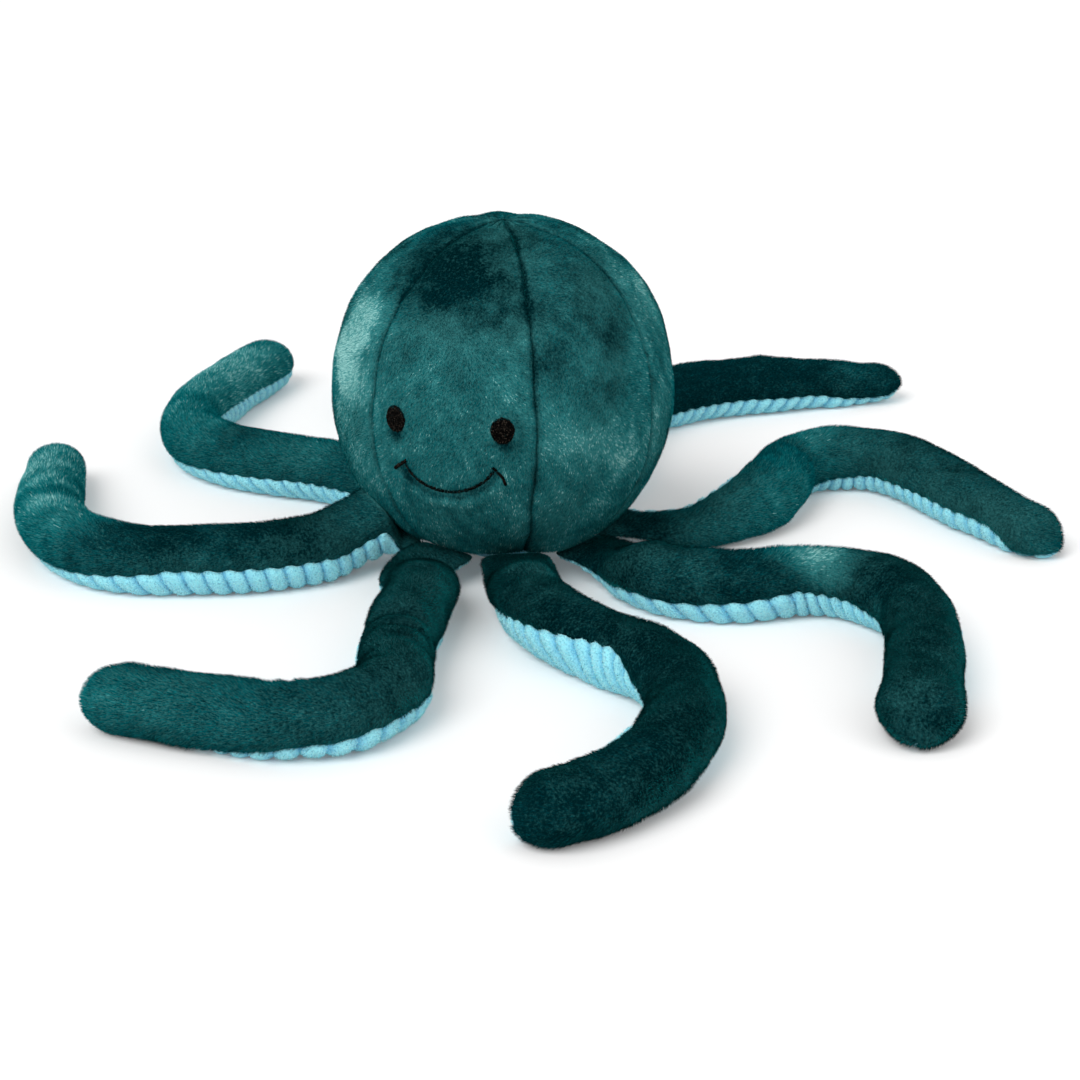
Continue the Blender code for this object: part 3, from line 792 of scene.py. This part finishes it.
class ArmLine:
    """The middle line of an arm on the floor, with its width, height and roll."""

    def __init__(self, name):
        self.name = name
        degrees, reach_share, self.headings, self.rolls = ARMS[name]
        self.bearing = math.radians(degrees)
        self.out = np.array([math.sin(self.bearing), -math.cos(self.bearing), 0])
        self.hinge = self.out * HINGE_RADIUS + (0, 0, HINGE_HEIGHT)
        self.length = ARM_LENGTH * reach_share
        self.tip_start = self.length - TIP_LENGTH
        self.steps = np.linspace(0, self.length, WALK_STEPS + 1)
        heading = self.heading((self.steps[1:] + self.steps[:-1]) / 2)
        strides = ahead_of(heading)[:, :2] * self.steps[1]
        self.path = np.vstack([self.hinge[:2], self.hinge[:2] + np.cumsum(strides, 0)])

    def along(self, degrees, distance):
        """An angle from a list of angles that are spread evenly over the arm."""
        spread = np.linspace(0, self.length, len(degrees))
        return np.radians(np.interp(distance, spread, degrees))

    def heading(self, distance):
        return self.along(self.headings, distance)

    def roll(self, distance):
        return self.along(self.rolls, distance)

    def turning(self, distance):
        """How sharply the line turns, in radians per metre."""
        reach = TURNING_REACH
        return (self.heading(distance + reach) - self.heading(distance - reach)) / (2 * reach)

    def middle(self, distance):
        ahead = np.clip(distance, 0, None)
        places = np.stack([
            np.interp(ahead, self.steps, self.path[:, 0]),
            np.interp(ahead, self.steps, self.path[:, 1]),
            self.middle_height(ahead)], -1)
        knots, shifts = zip(*ARM_PULLS.get(self.name, ((0, 0), (1, 0))))
        places[:, 1] += np.interp(ahead / MM, knots, shifts) * MM
        return places + np.minimum(distance, 0)[:, None] * self.out

    def wrap(self, distance):
        """How far the plush reaches down past mid height on both sides, in radians."""
        reach = WRAP_LENGTHS.get(self.name, 35) * MM
        tip = ease((distance - self.tip_start + reach) / (reach + 3 * MM))
        return np.radians(BODY_WRAP + (TIP_WRAPS[self.name] - BODY_WRAP) * tip)

    def club(self, distance):
        return ease((distance - self.tip_start + CLUB_LENGTH) / CLUB_LENGTH)

    def taper(self, distance):
        nearness = ease((distance - self.length + TAPER_LENGTH) / TAPER_LENGTH)
        return 1 - TIP_TAPERS.get(self.name, 0) * nearness

    def half_width(self, distance):
        middle = MIDDLE_SIZE + (CLUB_WIDTH - MIDDLE_SIZE) * self.club(distance)
        full = ease(distance / SWELL_LENGTH)
        width = SEWN_ROOT_WIDTH + (middle - SEWN_ROOT_WIDTH) * full
        return width * self.taper(distance) / 2

    def half_height(self, distance):
        middle = (MIDDLE_SIZE + (CLUB_HEIGHT - MIDDLE_SIZE) * self.club(distance)) / 2
        full = ease(distance / (FULL_LENGTHS[self.name] * MM))
        return (ROOT_RADIUS + (middle - ROOT_RADIUS) * full) * self.taper(distance)

    def middle_height(self, distance):
        """How high the middle is when the lowest point of the tube rests on the floor."""
        distance = np.clip(distance, 0, self.tip_start)
        roll = self.roll(distance)
        columns = roll[:, None] + math.pi + np.linspace(0, math.pi, 6)
        lowest = -np.sin(columns).min(1)
        seam_drop = np.cos(roll) * SIDE_SEAM_GAP / 2
        lying = self.half_height(distance) * lowest + seam_drop - FLOOR_CUT
        root_lying = ROOT_RADIUS * np.sin(np.radians(72))
        rise = HINGE_HEIGHT - root_lying - SIDE_SEAM_GAP / 2 + FLOOR_CUT
        return lying + rise * (1 - ease(distance / LANDING_LENGTH))


ARM_LINES = {name: ArmLine(name) for name in ARMS}
for line in ARM_LINES.values():
    print(line.name, "ends at", (line.path[-1] / MM).round(1))

# %% [markdown]
# ## The form of an arm
# In cross-section an arm is a stuffed tube with a seam on each side. The plush half and the
# corduroy half share that tube and the lie of its seams. Round a bend the inner side
# gathers in wrinkles and the outer side is stretched smooth. A few deep creases are placed
# one by one: distance along the arm, angle about it, half-angle, depth and width.

# %% Arm form
RIB_PITCH = 7.6 * MM
RIB_HEIGHT = 3.0 * MM
RIB_SINK = 2.2 * MM
RIB_SHADE = 0.8
WRINKLE_HEIGHT = 1.1 * MM
WRINKLE_PITCH = 9.5 * MM
# how far a rib slants along the arm for its way round it
RIB_SLANTS = {"left": -0.35, "back_left": -0.55, "front_right": -0.4, "front": -0.4,
              "back_right": 0.4, "back": 0.3}
# how much of the common wrinkles and lumps an arm shows
WRINKLES = {"right": 0.3, "left": 0.3, "back_left": 0.5}
LUMPINESS = {"left": 0.35, "back_left": 0.5}
CREASES = {
    "front": ((24, 70, 80, 0.9, 4.0), (38, 110, 50, 0.6, 3.0)),
    "front_left": ((104, 110, 70, 1.3, 3.0), (116, 80, 60, 1.5, 3.0), (128, 60, 50, 1.0, 3.5)),
    "right": ((112, 80, 80, 1.7, 4.5), (126, 60, 50, 0.9, 4.0), (72, 45, 60, -2.4, 12)),
    "back_left": ((112, 60, 70, 1.6, 4.0), (100, 40, 60, 1.0, 3.0), (124, 70, 60, 1.2, 4.0)),
    "back_right": ((34, 80, 60, 1.0, 3.0), (46, 60, 60, 1.0, 3.0), (58, 90, 50, 0.8, 3.0)),
    "left": ((98, 40, 60, 0.9, 4.0), (122, 60, 60, 1.0, 5.0)),
    "front_right": ((136, 140, 60, 1.3, 4.0), (122, 130, 50, 1.0, 3.5))}


def rib_phase(line, distance, round_distance):
    """Where on a rib a point lies, counted in ribs along the arm."""
    stray = 0.05 * np.sin(distance / (31 * MM) + line.bearing * 3)
    return (distance + RIB_SLANTS.get(line.name, 0) * round_distance) / RIB_PITCH + stray


def seam_wave(line, distance, side):
    """The side seam dips into the grooves of the corduroy, in metres round the arm."""
    round_distance = math.pi * MIDDLE_SIZE / 2 * side
    return 0.45 * MM * np.cos(math.tau * rib_phase(line, distance, round_distance))


def arm_lumps(line, distance, angle, points):
    """How far stuffing, wrinkles and creases move the skin of an arm outwards."""
    lumps = 0.55 * MM * unevenness(points, 17 * MM, 51)
    lumps = (lumps + 0.22 * MM * unevenness(points, 7 * MM, 52)) * LUMPINESS.get(line.name, 1)
    turning = line.turning(distance)
    inner = np.maximum(np.cos(angle) * np.sign(turning), 0)
    gather = np.minimum(np.abs(turning) * MIDDLE_SIZE / 2, 0.6) * inner
    wrinkle = np.cos(distance / WRINKLE_PITCH * math.tau + 1.5 * unevenness(points, 12 * MM, 53))
    strength = 0.6 + 0.5 * unevenness(points, 14 * MM, 55)
    wrinkle = WRINKLE_HEIGHT * WRINKLES.get(line.name, 1) * gather * (wrinkle - 0.5) * strength
    lumps = lumps + wrinkle
    for place, middle, reach, depth, width in CREASES.get(line.name, ()):
        stray = 1.6 * MM * unevenness(points, 10 * MM, 54 + int(place))
        away = np.abs(np.degrees(angle) - middle) / reach
        lumps = lumps - depth * MM * hump(distance - place * MM + stray, width * MM) * (
            1 - ease(away - 0.2))
    return lumps * ease((distance + 2 * MM) / (24 * MM))


def rest_on_floor(places):
    """Nothing reaches below the floor; the edge of what lies flat is rounded."""
    height = places[:, 2]
    places[:, 2] = (height + np.sqrt(height ** 2 + FLOOR_ROUNDING ** 2)) / 2
    return places


def on_arm(line, distance, rounding, local_angle, outward=0, inward_share=1):
    """Places on an arm's tube; local angles are counted from the right side seam."""
    angle = line.roll(distance) + local_angle
    before = np.minimum(distance, 0)
    flat = np.sqrt(np.maximum(ROOT_REACH ** 2 - before ** 2, 0)) / ROOT_REACH
    half_width = line.half_width(distance) * (0.7 + 0.3 * flat) + outward
    half_height = line.half_height(distance) * np.where(distance < 0, flat, 1) + outward
    scale = rounding * inward_share
    fullness = 1 + ROOT_FULLNESS * (1 - ease(distance / ROOT_FULLNESS_LENGTH))
    half_height = half_height * np.where(np.sin(angle) > 0, fullness, 1)
    places = line.middle(distance)
    side = beside(line.heading(np.maximum(distance, 0)))
    places = places + side * (half_width * scale * np.cos(angle))[:, None]
    places[:, 2] += half_height * (
        scale * np.sin(angle) - TIP_SINKS.get(line.name, 0) * (1 - rounding))
    from_head = places - (0, 0, HEAD_CENTRE)
    away = np.linalg.norm(from_head, axis=1)
    pressed = np.maximum(away, HEAD_RADIUS - HEAD_PRESS)
    return rest_on_floor(from_head * (pressed / away)[:, None] + (0, 0, HEAD_CENTRE))


def arm_rows(line, step):
    """Distances of the rows, and how far the tube is rounded off at each."""
    root = -ROOT_REACH * np.cos(np.linspace(0, math.pi / 2, 10)[:-1])
    body = np.linspace(0, line.tip_start, round(line.tip_start / step) + 1)
    quarter = np.linspace(0, math.pi / 2, 22)[1:]
    tip = line.tip_start + TIP_LENGTH * np.sin(quarter)
    rounding = np.concatenate([np.ones(len(root) + len(body)), np.cos(quarter)])
    return np.concatenate([root, body, tip]), rounding


# %% [markdown]
# ## The plush half of an arm
# The pile is combed towards the tip and is a little longer than on the head.

# %% Upper halves
ARM_COLUMNS = 40
# each arm's painted base shade: the sheen and shade its nap shows under the light
ARM_SHADES = {"front": 0.04, "front_right": 0.09, "right": 0.32, "back_right": 0.02,
              "back": 0.30, "back_left": 0.34, "left": 0.24, "front_left": 0.22}
# distance in millimetres, angle, half length, half angle and how much lighter it is painted;
# the dark patches near some roots paint the head's shadow
ARM_PAINTED_SHEEN_AND_SHADE = {
    "front": ((48, 60, 18, 50, 0.24), (90, 100, 16, 40, 0.08), (150, 50, 20, 40, -0.06),
              (215, 20, 30, 34, 0.20), (250, 100, 14, 60, 0.06)),
    "front_right": ((14, 90, 16, 90, -0.12), (60, 110, 18, 50, 0.10),
                    (115, 115, 17, 55, 0.80), (160, 90, 16, 60, -0.06),
                    (262, 120, 12, 60, 0.06)),
    "right": ((12, 90, 20, 90, -0.26), (72, 120, 28, 55, 0.16), (112, 90, 6, 60, -0.18),
              (132, 70, 14, 50, 0.24), (205, 90, 40, 70, -0.12), (255, 60, 14, 50, 0.06)),
    "back_right": ((45, 70, 22, 60, 0.36), (85, 60, 14, 50, 0.08),
                   (250, 120, 20, 60, 0.16)),
    "back_left": ((26, 80, 18, 60, -0.16), (62, 60, 15, 40, 0.10), (96, 90, 12, 60, -0.10),
                  (135, 90, 20, 60, 0.12), (218, 90, 60, 140, 0.42), (268, 90, 12, 90, -0.04)),
    "left": ((25, 60, 16, 50, 0.08), (64, 90, 28, 80, -0.27), (112, 80, 22, 70, -0.25),
             (150, 110, 22, 55, 0.24), (228, 75, 72, 150, 0.47), (260, 60, 30, 90, 0.04)),
    "front_left": ((40, 90, 30, 80, -0.14), (112, 90, 30, 80, -0.14),
                   (165, 90, 22, 60, -0.06), (235, 90, 34, 90, 0.16),
                   (268, 90, 12, 90, 0.24)),
    "back": ((60, 90, 20, 60, 0.1), (200, 90, 20, 60, 0.1))}


def arm_shade(line, distance, local_angle, points):
    shade = ARM_SHADES[line.name] + 0.03 * unevenness(points, 9 * MM, 61)
    shade += 0.035 * unevenness(points, 3.5 * MM, 62)
    stray = 0.2 * unevenness(points, 8 * MM, 63)
    for place, middle, length, reach, amount in ARM_PAINTED_SHEEN_AND_SHADE[line.name]:
        shade += painted_light_patch(np.hypot((distance / MM - place) / length,
                                 (np.degrees(local_angle) - middle) / reach) + stray, amount)
    return shade


def plush_values(line, distance, local_angle, from_seam, turned, places):
    """How the nap of an upper half lies, its painted sheen and shade, and where its pile may grow.
    """
    heading = line.heading(np.maximum(distance, 0))
    lean = ahead_of(heading) * (1.2 + 0.4 * unevenness(places, 13 * MM, 64)[:, None])
    lean = lean + beside(heading) * 0.55 * unevenness(places, 16 * MM, 65)[:, None]
    to_head = np.linalg.norm(places - (0, 0, HEAD_CENTRE), axis=1) - HEAD_RADIUS
    growth = ease((from_seam + 0.2 * MM) / (0.4 * MM)) * (turned == 0)
    growth = growth * ease((to_head - 0.2 * MM) / (1.2 * MM))
    growth = growth * ease((places[:, 2] - 0.2 * MM) / (1.2 * MM))
    growth = growth * ease((distance + 6 * MM) / (3 * MM))
    shade = arm_shade(line, distance, local_angle, places)
    return {"shade": np.clip(shade, 0, 1), "lean": lean, "pile": growth}


def half_arm_place(line, step, upper):
    """Where the points of a half skin go; its outer columns turn in at the seams."""
    distances, roundings = arm_rows(line, step)

    def place(column, row):
        distance, rounding = distances[row], roundings[row]
        share, turned = sewn_columns(column, ARM_COLUMNS)
        tube = (line.half_width(distance) + line.half_height(distance)) / 2
        wrap = line.wrap(distance)
        left = math.pi + wrap + seam_wave(line, distance, 0) / tube
        right = -wrap - seam_wave(line, distance, 1) / tube
        if upper:
            start, end = right, left
        else:
            start, end = left, math.tau - wrap - seam_wave(line, distance, 1) / tube
        local_angle = start + (end - start) * share
        from_seam = np.minimum(share, 1 - share) * (end - start) * tube
        rough = on_arm(line, distance, rounding, local_angle)
        outward = arm_lumps(line, distance, local_angle, rough) - 0.9 * MM * hump(
            from_seam, 1.6 * MM) - 0.3 * MM * hump(from_seam, 5 * MM)
        if not upper:
            phase = rib_phase(line, distance, share * (end - start) * tube)
            rib = np.sqrt(np.maximum(1 - ((phase % 1) * 2 - 1) ** 2, 0)) ** 0.7
            strength = 1 - 0.35 * hump(from_seam, 1.4 * MM)
            strength = strength * ease((distance + 2 * MM) / (12 * MM))
            outward = outward + (RIB_HEIGHT * rib - RIB_SINK) * strength
        inward_share = 1 - SEAM_TURN_IN * turned / tube
        places = on_arm(line, distance, rounding, local_angle, outward, inward_share)
        if upper:
            return places, plush_values(line, distance, local_angle, from_seam, turned, places)
        growth = ease((places[:, 2] - 0.8 * MM) / (1.5 * MM)) * (turned == 0)
        # the pile on a rib's flanks is dealt darker blues: painted shade of the groove
        light = RIB_SHADE + 0.07 * unevenness(rough, 6 * MM, 71)
        return places, {"groove": 1 - rib, "lean": places * 0,
                        "shade": np.clip(light - 0.5 * (1 - rib) ** 1.3, 0, 1),
                        "pile": growth * (0.35 + 0.65 * rib)}
    return place, len(distances) - 1


def add_halves(upper, step, skin_name, pile_name, cloth, kind, seed):
    halves = {}
    for name, line in ARM_LINES.items():
        place, rows = half_arm_place(line, step, upper)
        halves[name] = add_cloth(f"{skin_name}_{name}", f"{pile_name}_{name}",
                                 (ARM_COLUMNS, rows), place, cloth, kind, seed)
        seed += 10
    return halves


UPPER_HALVES = add_halves(True, 1.2 * MM, "plush_arm", "pile_arm", PLUSH, ARM_PILE, 300)

# %% [markdown]
# ## Corduroy
# The ribs are half a finger wide, too large for a bump map: they show in the outline. So
# they are modelled in the skin, round on top with narrow grooves between. The cut pile on a
# rib looks pebbly. The deep grooves are a stronger blue, partly the bare backing's own
# colour and partly painted shade.

# %% Corduroy finish and lower halves
# five light blues from dark to light; the darker ones paint shade on the rib flanks
RIB_SHADES = (
    (66, 184, 228), (98, 214, 242), (132, 238, 253), (164, 250, 255), (196, 254, 255))


def corduroy_finish():
    finish = Finish("light_blue_corduroy", colour(140, 205, 225), 0.95,
                    sheen_weight=0.2, sheen_roughness=0.5, specular_ior_level=0.1)
    groove = finish.attribute("groove")
    pebbles = finish.noise(0.8 * MM, 2.0, 0.6)
    patches = finish.noise(9 * MM, 2.0)
    # the grooves are painted a deeper blue, the bare backing's colour and painted shade; the
    # patches vary at random
    depth = groove * 1.1 + (patches - 0.5) * 0.3
    cloth = finish.between(depth, colour(164, 240, 252), colour(80, 176, 232))
    cloth = finish.between(pebbles * 3.0 - 1.5, cloth, colour(78, 168, 200))
    finish.feed(Base_Color=cloth)
    return finish.relief(pebbles + finish.noise(0.35 * MM, 1.0) * 0.5, 0.8 * MM).material


CORDUROY = corduroy_finish()
RIB_TONE_AND_GROOVE_SHADE_FINISHES = painted_shade_set("rib_pile", RIB_SHADES, [0.3] * len(RIB_SHADES), 0.85,
                   sheen_roughness=0.4, specular_ior_level=0.1)
RIB_PILE = (blade_object("rib_tuft", 0.7 * MM, 0.26 * MM), 4.0, RIB_TONE_AND_GROOVE_SHADE_FINISHES)
LOWER_HALVES = add_halves(
    False, 0.62 * MM, "corduroy_arm", "rib_pile", CORDUROY, RIB_PILE, 500)

# %% [markdown]
# ## The base
# Underneath, a round of the same corduroy closes the ball inside the ring of arms. It is a
# grid drawn into a disc and pressed on the floor in the middle.

# %% Base panel
BASE_CELLS = 120
BASE_ANGLE = math.radians(33.5)
BASE_SINK = 2.4 * MM


def base_place(column, row):
    square = np.stack([column, row], -1) / BASE_CELLS * 2 - 1
    disc = square * np.sqrt(1 - square[:, ::-1] ** 2 / 2)
    away = np.hypot(disc[:, 0], disc[:, 1]).clip(0, 1)
    polar = math.pi - BASE_ANGLE * away
    bearing = np.arctan2(disc[:, 0], -disc[:, 1])
    flat = on_head(bearing, polar, np.full(len(polar), HEAD_RADIUS))
    within = (flat[:, 1] / RIB_PITCH % 1) * 2 - 1
    rib = np.sqrt(np.maximum(1 - within ** 2, 0)) ** 0.8
    edge = 1 - ease((away - 0.9) / 0.1)
    radius = HEAD_RADIUS - 1.2 * MM + (1.7 * rib - 0.7) * MM * edge - 1.5 * MM * (1 - edge)
    radius = radius - BASE_SINK * ease((away - 0.35) / 0.4)
    return rest_on_floor(on_head(bearing, polar, radius)), {"groove": 1 - rib}


BASE = add_object("corduroy_base", sheet_of_cloth(
    "corduroy_base", BASE_CELLS, BASE_CELLS, base_place, turned=True), [CORDUROY])

# %% [markdown]
# ## The stitched face
# The eyes are filled with upright threads, side by side, that swell a little in the middle.
# The smile is a narrow line of short stitches laid across it. Thread is built as thread: a
# rounded stitch is a small stretched ball, and each is set down on the cloth with a slight
# stray of its own, so that the edges come out as lively as needlework does.

# %% Thread
THREAD_RADIUS = 0.24 * MM
THREAD_SPACING = THREAD_RADIUS * 1.45
EYE_STITCH = 2.6 * MM
SMILE_SPACING = 0.42 * MM
SMILE_STITCH_RADIUS = 0.42 * MM


def thread_finish():
    finish = Finish("black_thread", colour(4, 4, 4), 0.6, specular_ior_level=0.03)
    twist = finish.noise(0.45 * MM, 2.0, 0.7)
    # the rare light specks are painted glints on the thread's fibres
    finish.feed(Base_Color=finish.between(twist * 7 - 4.1, colour(0, 0, 0), colour(96, 86, 76)))
    return finish.feed(Roughness=twist * 0.3 + 0.4).relief(twist, 0.12 * MM).material


THREAD = thread_finish()


def face_surface(across, up):
    """The place on the face's cloth and the direction away from it."""
    bearing = np.array([math.radians(FACE_BEARING) + across / HEAD_RADIUS])
    polar = np.array([math.pi / 2 - up / HEAD_RADIUS])
    share = (np.degrees(bearing) - SEAMS[0]) / FACE_GORE_DEGREES
    radius = PROFILE(polar) + LEAF_SWELL * np.sin(math.pi * share) ** 0.8 - LEAF_INSET
    plain = on_head(bearing, polar, radius)
    radius = radius + 0.45 * MM * unevenness(plain, 16 * MM, 11)
    height, growth = face_relief(bearing, polar)
    place = Vector(on_head(bearing, polar, radius + height)[0])
    return place, (place - Vector((0, 0, HEAD_CENTRE))).normalized()


def lay_stitch(sewing, across, up, slant, length, radius, lift):
    """One stitch: a stretched ball at a place on the face, slanted in the cloth."""
    place, outward = face_surface(across, up)
    side = Vector((0, 0, 1)).cross(outward).normalized()
    along = (outward.cross(side) * math.cos(slant) + side * math.sin(slant)).normalized()
    turn = Matrix((along.cross(outward), outward, along)).transposed().to_4x4()
    turn.translation = place + outward * lift
    stretch = Matrix.Diagonal((radius, radius, length / 2, 1))
    bmesh.ops.create_uvsphere(
        sewing, u_segments=7, v_segments=6, radius=1, matrix=turn @ stretch)


def finish_sewing(name, sewing):
    mesh = mesh_of(name, sewing)
    mesh.shade_smooth()
    return add_object(name, mesh, [THREAD])


def add_eye(name, middle_across, middle_up, rng):
    """Rows of upright threads inside an oval, highest in its middle."""
    sewing = bmesh.new()
    for across in np.arange(-EYE_HALF_WIDTH, EYE_HALF_WIDTH + 0.01 * MM, THREAD_SPACING):
        aside = (across / EYE_HALF_WIDTH) ** 2
        chord = EYE_HALF_HEIGHT * math.sqrt(max(1 - aside, 0.02))
        parts = max(1, round(2 * chord / EYE_STITCH))
        start = -chord + rng.uniform(-0.3, 0.3) * MM
        for part in range(parts):
            up = start + 2 * chord * (part + 0.5) / parts
            dome = 0.75 * MM * (1 - aside * 0.6 - (up / EYE_HALF_HEIGHT) ** 2 * 0.6)
            lay_stitch(sewing, middle_across + across, middle_up + up,
                       rng.uniform(-0.05, 0.05), 2 * chord / parts * 1.25,
                       THREAD_RADIUS * rng.uniform(0.95, 1.25), dome + rng.uniform(0, 0.08) * MM)
    return finish_sewing(f"eye_{name}_stitches", sewing)


def add_eye_padding(name, middle_across, middle_up):
    """The thick underlay of an eye: a low black cushion below its threads."""
    pad = bmesh.new()
    bmesh.ops.create_circle(pad, cap_ends=True, cap_tris=False, segments=40, radius=1)
    for _ in range(5):
        inner = [face for face in pad.faces if len(face.verts) > 4]
        bmesh.ops.inset_region(pad, faces=inner, thickness=0.17)
    for point in pad.verts:
        away = math.hypot(point.co.x, point.co.y)
        place, outward = face_surface(middle_across + point.co.x * EYE_HALF_WIDTH,
                                      middle_up + point.co.y * EYE_HALF_HEIGHT)
        point.co = place + outward * (0.75 * (1 - away * away * 0.75) - 0.35) * MM
    return finish_sewing(f"eye_{name}_padding", pad)


def add_smile(rng):
    sewing = bmesh.new()
    stitches = round(2 * SMILE_HALF_ANGLE * SMILE_RADIUS / SMILE_SPACING)
    for index in range(stitches + 1):
        angle = SMILE_HALF_ANGLE * (2 * index / stitches - 1)
        across = SMILE_RADIUS * math.sin(angle)
        up = SMILE_MIDDLE_UP - SMILE_RADIUS * math.cos(angle)
        lay_stitch(sewing, across, up, -angle * 0.5 + rng.uniform(-0.4, 0.4),
                   rng.uniform(1.2, 2.2) * MM, SMILE_STITCH_RADIUS, 0.28 * MM)
    return finish_sewing("smile_stitches", sewing)


def add_corner(name, ends, thickness, rng):
    """A bar of stitches along a short line of places on the face."""
    sewing = bmesh.new()
    for start, stop in zip(ends, ends[1:]):
        count = max(2, round(math.dist(start, stop) / 0.4))
        way = math.atan2(stop[0] - start[0], stop[1] - start[1])
        for index in range(count + 1):
            part = index / count
            across = (start[0] + (stop[0] - start[0]) * part) * MM
            up = (start[1] + (stop[1] - start[1]) * part) * MM
            lay_stitch(sewing, across, up, way + rng.uniform(-0.3, 0.3),
                       rng.uniform(1.0, 1.4) * MM, thickness / 2, 0.25 * MM)
    return finish_sewing(f"smile_corner_{name}_stitches", sewing)


def add_face():
    rng = np.random.default_rng(7)
    pieces = {}
    for name, (across, up) in EYES.items():
        pieces[f"eye_{name}"] = [add_eye(name, across, up, rng),
                                 add_eye_padding(name, across, up)]
    pieces["smile"] = [add_smile(rng)]
    pieces["smile_corner_left"] = [add_corner(
        "left", ((-24.0, -17.6), (-21.4, -15.6), (-18.4, -13.6)), 1.7 * MM, rng)]
    pieces["smile_corner_right"] = [add_corner(
        "right", ((19.4, -13.6), (21.2, -15.6), (23.4, -18.0), (24.5, -20.8)), 1.25 * MM, rng)]
    return pieces


FACE = add_face()
print("face pieces:", {name: len(found) for name, found in FACE.items()})

# %% [markdown]
# ## Floor and light
# A plain white floor keeps the toy's soft shadow. Large soft lamps far away light the
# floor evenly: a main one from the upper left front, a weak one from the right, and the
# white world as fill. The world and the floor are shown to the camera as plain white.

# %% Floor, lamps and world
def add_floor():
    finish = Finish("white_floor", colour(244, 244, 244), 0.8, specular_ior_level=0.0,
                    emission_strength=0.10)
    seen = finish.node("ShaderNodeLightPath", output="Is Camera Ray")
    glow = finish.between(seen, (0, 0, 0, 1), (1, 1, 1, 1))
    finish.feed(Emission_Color=glow)
    floor = bmesh.new()
    bmesh.ops.create_grid(floor, x_segments=2, y_segments=2, size=6)
    add_object("floor", mesh_of("floor", floor), [finish.material])


def add_lamp(name, strength, softness_degrees, elevation, bearing):
    """A distant lamp; bearing is where it stands, from the front towards the right."""
    lamp = bpy.data.lights.new(name, "SUN")
    lamp.energy = strength
    lamp.angle = math.radians(softness_degrees)
    made = put_in_scene(bpy.data.objects.new(name, lamp))
    made.rotation_euler = Euler((math.radians(90 - elevation), 0, math.radians(bearing)))


def add_world(fill):
    world = bpy.data.worlds.new("studio")
    world.use_nodes = True
    tree = world.node_tree
    background = tree.nodes["Background"]
    background.inputs["Color"].default_value = (1, 1, 1, 1)
    seen = Nodes(tree).node("ShaderNodeLightPath", output="Is Camera Ray")
    shine = seen.sibling("Is Glossy Ray")
    through = seen.sibling("Is Transmission Ray")
    shown = seen.reckon("MAXIMUM", seen, shine.reckon("MAXIMUM", shine, through))
    plug(tree, background.inputs["Strength"], shown * (1 - fill) + fill)
    bpy.context.scene.world = world


add_floor()
add_lamp("main_lamp", 1.95, softness_degrees=40, elevation=46, bearing=-35)
add_lamp("side_lamp", 0.6, softness_degrees=60, elevation=30, bearing=50)
add_world(fill=0.58)

# %% [markdown]
# ## Which pieces ride on the head
# The pieces of the head ride on the head. An arm's cloth is sewn to the head at its root;
# its skins and pile stay where they were built, and the solid arm parts under them are hidden.


def dress_head():
    for name, (leaf, pile) in LEAVES.items():
        for piece in (leaf, pile):
            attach(piece, "head")
        inside = ["head_stuffing"] if name == "face" else []
        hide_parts(f"gore_{name}", *inside)
    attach(BASE, "head")
    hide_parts("base_panel")
    for node, pieces in FACE.items():
        for piece in pieces:
            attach(piece, "head")
        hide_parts(node)


def dress_arms():
    for name, line in ARM_LINES.items():
        for halves, slot in ((UPPER_HALVES, "teal_plush"), (LOWER_HALVES, "light_blue_corduroy")):
            for piece in halves[name]:
                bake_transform(piece)
        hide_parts(f"arm_{name}_top", f"arm_{name}_stuffing")
        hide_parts(f"arm_{name}_underside")


dress_head()
dress_arms()
